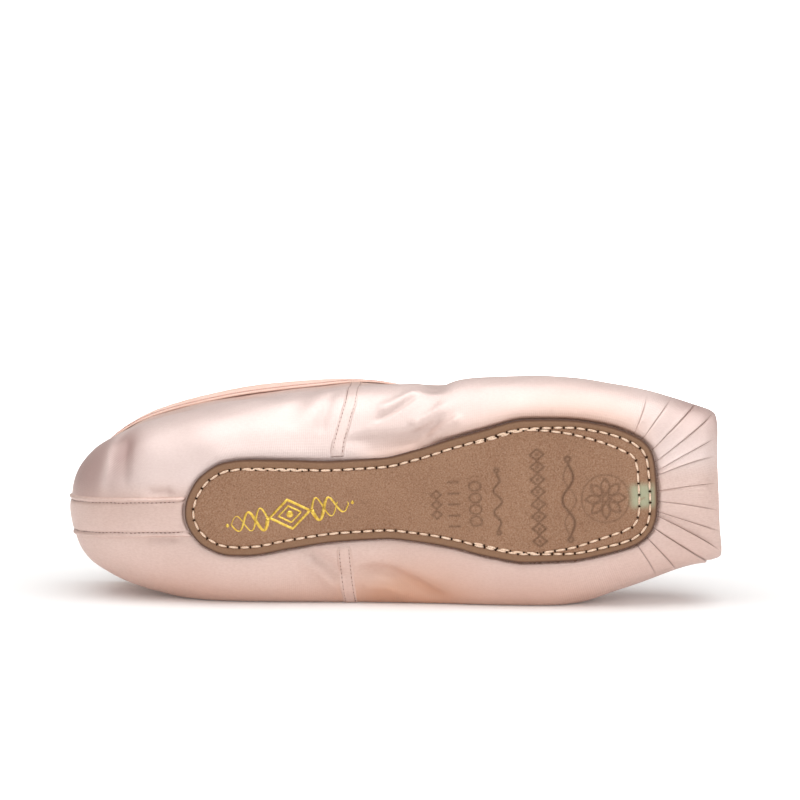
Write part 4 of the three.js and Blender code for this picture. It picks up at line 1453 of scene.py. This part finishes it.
def side_seams():
    v = np.concatenate([np.linspace(0.03, 1, 60, endpoint=False), np.linspace(1, 1.86, 50)])[:, None]
    across = np.linspace(-SEAM_HALF_WIDTH, SEAM_HALF_WIDTH, 27)[None]
    v_row = np.linspace(0.04, 1.84, 220)
    for side, name in ((RIGHT, "right"), (LEFT, "left")):
        here, normals = seam_places(side, v, across)
        gap = np.abs(across) * np.ones_like(v)
        base, _ = cloth_relief(here, run_length(here), side == LEFT)
        seam = bell(gap - SEAM_ROW_AT, 0.3)
        rim = smoothstep(gap, SEAM_HALF_WIDTH - 0.9, SEAM_HALF_WIDTH)
        body = 0.34 * (1 - rim) - 0.12 * seam + 0.05 * unevenness(here, 6, 14)
        zero = np.zeros_like(seam)
        # The seam tape gets painted shade along its stitch rows, a light painted warm shade all over and
        # the painted highlight of the side that faces up
        tape = strip_mesh("side_seam_" + name, here, normals, base - STRIP_ROOT, base + body - 0.08 * rim,
                          {"painted_fold_shade": 0.1 * seam, "painted_warm_shade": zero + 0.1, "painted_shade_patch": zero, "painted_highlight": painted_highlight_side(here)})
        finish_piece(tape, "satin")
        for k, at in enumerate((-SEAM_ROW_AT, SEAM_ROW_AT)):
            place, facing = seam_places(side, v_row, np.full(220, at))
            strip_stitches(f"side_stitches_{name}_{k + 1}", place, facing, 0.2, side == LEFT,
                           SEAM_STITCH, FINE_THREAD, 20 + k)


# Collar binding: a ribbed tape folded over the collar's edge
WALK_STEPS = 8


# The skin from below the widest line up to the collar, to find the nearest place on it
def skin_tree(is_inside):
    ring = np.linspace(0, ROUND, 421)[:, None]
    v = np.linspace(0.8, 2, 70)[None]
    cuts = Cuts(ring * np.ones_like(v))
    points = cuts.skin(v * np.ones_like(ring), wall_at(cuts.foot) if is_inside else 0)
    quads = grid_quads(len(ring), v.shape[1], False, False)
    return BVHTree.FromPolygons(points.reshape(-1, 3).tolist(), quads.tolist())


# Steps sideways from the collar's edge and drops back onto the skin at each step
def walk_from_collar(ring, is_inside, edge_direction, distance):
    tree = skin_tree(is_inside)
    cuts = Cuts(ring)
    point = cuts.skin(np.full(len(ring), 2.0), wall_at(cuts.foot) if is_inside else 0)
    stops = []
    for _ in range(WALK_STEPS + 1):
        found = [tree.find_nearest(Vector(place))[:2] for place in point]
        point = np.array([place for place, _ in found])
        normal = np.array([facing for _, facing in found])
        normal = facing_out(normal, point)
        normal = unit(sum(np.roll(normal, shift, 0) for shift in range(-6, 7)))
        inward = unit(np.cross(edge_direction, normal))
        stops.append((point, normal, inward))
        point = point + inward * (distance / WALK_STEPS)
    return stops


BINDING_COLUMNS = 1500
TAPE_ROLL = 0.45
LEG_SHORTENS = (92, 120)
LOW_SIDE_FROM = 20
LOW_SIDE_LIFT = 1.15
RIB_HEIGHT = 0.2
BINDING_LEG = 12.5
THROAT_LEG = 7
RIB_PITCH = 0.8


def collar_edge(count):
    half = np.linspace(0, THROAT_CUT, count // 2, endpoint=False)
    tip = [THROAT_CUT, ROUND - THROAT_CUT]
    ring = np.concatenate([half, tip, (ROUND - half[::-1])[:-1]])
    edge = Cuts(ring).skin(np.full(len(ring), 2.0))
    closed = np.concatenate([edge, edge[:1]])
    return np.concatenate([ring, [ROUND]]), run_length(closed)


def collar_tape():
    ring, done = collar_edge(900)
    along = np.linspace(0, done[-1], BINDING_COLUMNS, endpoint=False)
    spread = np.interp(along, done, ring)
    edge = Cuts(spread).skin(np.full(len(spread), 2.0))
    edge_direction = unit(np.roll(edge, -1, 0) - np.roll(edge, 1, 0))
    leg = lerp(BINDING_LEG, THROAT_LEG, smoothstep(edge[:, 0], *LEG_SHORTENS))
    outside = walk_from_collar(spread, False, edge_direction, leg[:, None])
    inside = walk_from_collar(spread, True, edge_direction, BINDING_TURN_IN)
    near, far = BINDING_GAP - 0.25, BINDING_GAP + TAPE_THICKNESS
    low_side = edge[:, 1] > LOW_SIDE_FROM

    def off(stop, lift, up=0.0):
        point, normal, inward = stop
        lift = np.where(low_side & (np.abs(lift) > 1), np.sign(lift) * LOW_SIDE_LIFT, lift)
        return point + normal * lift[:, None] - inward * up

    full = np.ones(len(spread))
    points, ribbed, groove = [], [], []

    def add(point, is_ribbed, groove_shade=0.0):
        points.append(point)
        ribbed.append(full * is_ribbed)
        groove.append(full * groove_shade)

    for k in range(WALK_STEPS, 0, -1):
        dip = 0.35 if k == WALK_STEPS - 1 else 0
        rib = 0.0 if k == WALK_STEPS else 1 - 0.8 * (k == WALK_STEPS - 1)
        lift = far - dip - (TAPE_ROLL if k == WALK_STEPS else 0)
        # The dipped row gets painted shade in its groove
        add(off(outside[k], full * lift), rib, 0.5 if dip else 0.0)
    add(off(outside[0], full * far, near), 1)
    add(off(outside[0], full * far * 0.72, far * 0.86), 1)
    middle = (off(outside[0], full * 0, far) + off(inside[0], full * 0, far)) / 2
    add(middle - outside[0][2] * 0.12, 1)
    add(off(inside[0], full * -far * 0.72, far * 0.86), 1)
    add(off(inside[0], full * -far, near), 1)
    for k in range(1, WALK_STEPS + 1):
        is_rim = k == WALK_STEPS
        add(off(inside[k], full * -(far - TAPE_ROLL * is_rim)), 0.0 if is_rim else 1)
    for k in range(WALK_STEPS, -1, -2):
        add(off(inside[k], full * -near), 0)
    for k in range(0, WALK_STEPS + 1, 2):
        add(off(outside[k], full * near), 0)
    whole = np.stack(points, 1)
    quads = grid_quads(len(spread), whole.shape[1], True, True)
    along_each = np.broadcast_to(along[:, None], whole.shape[:2]) * MM
    tape = make_piece("collar_tape", whole, quads, [TAPE], None, cloth_uv(whole), {
        "along": along_each, "ribbed": np.stack(ribbed, 1), "groove": np.stack(groove, 1)})
    pitch = done[-1] / round(done[-1] / RIB_PITCH)
    tape = grown(tape, RIBS, Rib_pitch=pitch * MM, Rib_height=RIB_HEIGHT * MM, Tape=TAPE)
    finish_piece(tape, "binding_tape", "collar_binding")
    point, normal, _ = outside[WALK_STEPS - 1]
    lift = np.where(low_side, 0.8, 1.0)[:, None]
    points = (point + normal * lift)[::3]
    stitches("binding_stitches", points, normal[::3], BINDING_STITCH, BINDING_THREAD, 40, True)


# Insole: a padded sock lining inside the shoe
def insole_lining():
    ring = np.linspace(0, ROUND, 240, endpoint=False)
    cuts = Cuts(ring)
    low = SOLE_THICKNESS + FIT_GAP + QUARTER_WALL + FIT_GAP
    shares = np.concatenate([np.linspace(0, 0.9, 22), [0.94, 0.97, 0.99, 1.0]])
    full = cuts.sole_reach + 1.0

    def disc(share, height):
        reach = share * full
        x = cuts.foot + reach * cuts.cos
        y = reach * cuts.sin * np.where(cuts.left, 1, -1)
        return above_tread(x, y, height)

    rows = [disc(share, low) for share in shares]
    for share in shares[::-1]:
        round_off = 1.0 * (max(0, share - 0.94) / 0.06) ** 2
        seam = 0.35 * bell(share - 0.9, 0.02)
        rows.append(disc(share, low + INSOLE_THICKNESS - round_off - seam))
    whole = np.stack(rows, 1)
    soft = 0.12 * unevenness(whole, 14, 51)
    upper_half = np.arange(whole.shape[1]) >= len(shares)
    whole[..., 2] += soft * upper_half[None]
    quads = grid_quads(len(whole), whole.shape[1], True, False)
    piece = make_piece("insole_lining", whole, quads, [CANVAS], None, whole[..., :2] / 1000)
    finish_piece(piece, "canvas", "insole")


# Generic gold ornament on the heel of the sole: a lozenge between two tapering waves
GOLD_CENTRE = (84.5, 1.2)
GOLD_TILT = math.radians(-8)
GOLD_THICKNESS = 0.12


def gold_strokes():
    strokes = []
    share = np.linspace(0, 1, 46)
    for side in (-1, 1):
        for phase, swing, width in ((0, 4.4, 1.7), (math.pi, 4.4, 1.0)):
            x = side * lerp(8.0, 21.5, share)
            y = swing * np.sin(share * 3 * math.pi + phase) * (1 - 0.45 * share)
            thick = width * (1 - 0.65 * share) * (0.65 + 0.35 * np.abs(np.cos(share * 3 * math.pi)))
            strokes.append((np.stack([x, y], -1), thick, False))
        strokes.append((np.stack([side * lerp(22.2, 23.6, share[::9]), 0 * share[::9]], -1),
                        1.7 * np.sin(share[::9] * math.pi) + 0.05, False))
    for size, width in ((7.4, 1.05), (4.2, 0.7)):
        corners = np.array([(-size, 0), (0, size * 0.72), (size, 0), (0, -size * 0.72)], float)
        strokes.append((even_spacing(corners, 48, True), np.full(48, width), True))
    turn = np.linspace(0, 2 * math.pi, 20, endpoint=False)
    strokes.append((np.stack([0.7 * np.cos(turn), 0.7 * np.sin(turn)], -1), np.full(20, 1.3), True))
    return strokes


def gold_ornament():
    tilt = turning(GOLD_TILT)
    points, faces = [], []
    for path, thick, closed in gold_strokes():
        ahead = np.roll(path, -1, 0) - np.roll(path, 1, 0) if closed else np.gradient(path, axis=0)
        side = unit(np.stack([-ahead[:, 1], ahead[:, 0]], -1)) * thick[:, None] / 2
        base = sum(len(p) for p in points)
        profile = []
        for offset, lift in ((-1, -0.25), (-0.8, GOLD_THICKNESS), (0.8, GOLD_THICKNESS), (1, -0.25)):
            plan = (path + side * offset) @ tilt + GOLD_CENTRE
            profile.append(on_tread(plan, lift - 0.02 + 0.15))
        whole = np.stack(profile, 1)
        quads = grid_quads(len(whole), 4, closed, True) + base
        faces += quads.tolist()
        if not closed:
            last = base + 4 * (len(whole) - 1)
            faces += [(base, base + 1, base + 2, base + 3), (last + 3, last + 2, last + 1, last)]
        points.append(whole.reshape(-1, 3))
    piece = make_piece("gold_ornament", np.concatenate(points), faces, [FOIL])
    finish_piece(piece, "foil")


# Floor, lights and camera
FLOOR_FRONT = -3.0
FLOOR_BACK = 0.75
WALL_TOP = 3.0
AIR = (1.0, 0.99, 0.985, 1)


def studio():
    floor = Finish("pale_floor", 0.75, Base_Color=(0.96, 0.955, 0.95, 1), Specular_IOR_Level=0.15,
                   Emission_Color=AIR)
    here = floor.add("ShaderNodeTexCoord").outputs["Object"]
    back = floor.add("ShaderNodeSeparateXYZ", [("Vector", here)]).outputs["Y"]
    floor.feed("Emission Strength", floor.ramp(back, 0.04, 0.4, 0.06, 1.0))
    lay_stage("floor", floor.material, [(FLOOR_FRONT, 0.0), (FLOOR_BACK, 0.0)])
    backdrop = Finish("white_backdrop", Base_Color=(0.9, 0.9, 0.9, 1), Emission_Color=(1.0, 1.0, 1.0, 1),
                      Emission_Strength=1.0)
    wall = lay_stage("backdrop", backdrop.material, [(FLOOR_BACK, 0.0), (FLOOR_BACK, WALL_TOP)])
    wall.visible_diffuse = False
    wall.visible_glossy = False

    world = bpy.data.worlds.new("studio_air")
    bpy.context.scene.world = world
    world.use_nodes = True
    air = world.node_tree.nodes["Background"]
    air.inputs["Color"].default_value = AIR
    air.inputs["Strength"].default_value = 0.3
    soft_light("top_softbox", (0.04, -0.22, 1.0), (0, 0, 0.03), 1.7, 1.0, 12)
    soft_light("front_softbox", (0.15, -1.0, 0.55), (0, 0, 0.04), 1.2, 0.5, 4.0)


def lay_stage(name, material, profile):
    corners = [(x, y, z) for y, z in profile for x in (-4.0, 4.0)]
    mesh = bpy.data.meshes.new(name)
    mesh.from_pydata(corners, [], [(0, 1, 3, 2)])
    mesh.materials.append(material)
    sheet = put_in_scene(name, mesh)
    return sheet


def soft_light(name, place, target, wide, high, power):
    light = bpy.data.lights.new(name, "AREA")
    light.shape = "RECTANGLE"
    light.size = wide
    light.size_y = high
    light.energy = power
    lamp = put_in_scene(name, light)
    aim = Vector(target) - Vector(place)
    lamp.matrix_world = Matrix.Translation(place) @ aim.to_track_quat("-Z", "Y").to_matrix().to_4x4()


CAMERA_TARGET = (0.002334, 0.0, 0.073485)
CAMERA_DISTANCE = 0.823336
CAMERA_AZIMUTH = math.radians(3)
CAMERA_ELEVATION = math.radians(5)
CAMERA_ROLL = math.radians(-0.029)


def photo_camera():
    data = bpy.data.cameras.new("photo_camera")
    data.lens = 100
    data.sensor_width = 36
    camera = put_in_scene("photo_camera", data)
    level = math.cos(CAMERA_ELEVATION)
    back = Vector((math.sin(CAMERA_AZIMUTH) * level, -math.cos(CAMERA_AZIMUTH) * level,
                   math.sin(CAMERA_ELEVATION)))
    right = Vector((math.cos(CAMERA_AZIMUTH), math.sin(CAMERA_AZIMUTH), 0))
    turned = Matrix.Rotation(CAMERA_ROLL, 3, back)
    right = turned @ right
    up = back.cross(right)
    axes = Matrix((right, up, back)).transposed().to_4x4()
    camera.matrix_world = Matrix.Translation(Vector(CAMERA_TARGET) + back * CAMERA_DISTANCE) @ axes
    bpy.context.scene.camera = camera


photo_camera()
studio()
bpy.context.scene.view_settings.view_transform = "Standard"
finish_piece(satin_upper(), "satin", "upper")
finish_piece(outsole_leather(), "sole_leather", "outsole")
insole_lining()
heel_strip_tape()
side_seams()
collar_tape()
sole_stitches()
sole_fibres()
gold_ornament()

bpy.context.view_layer.update()
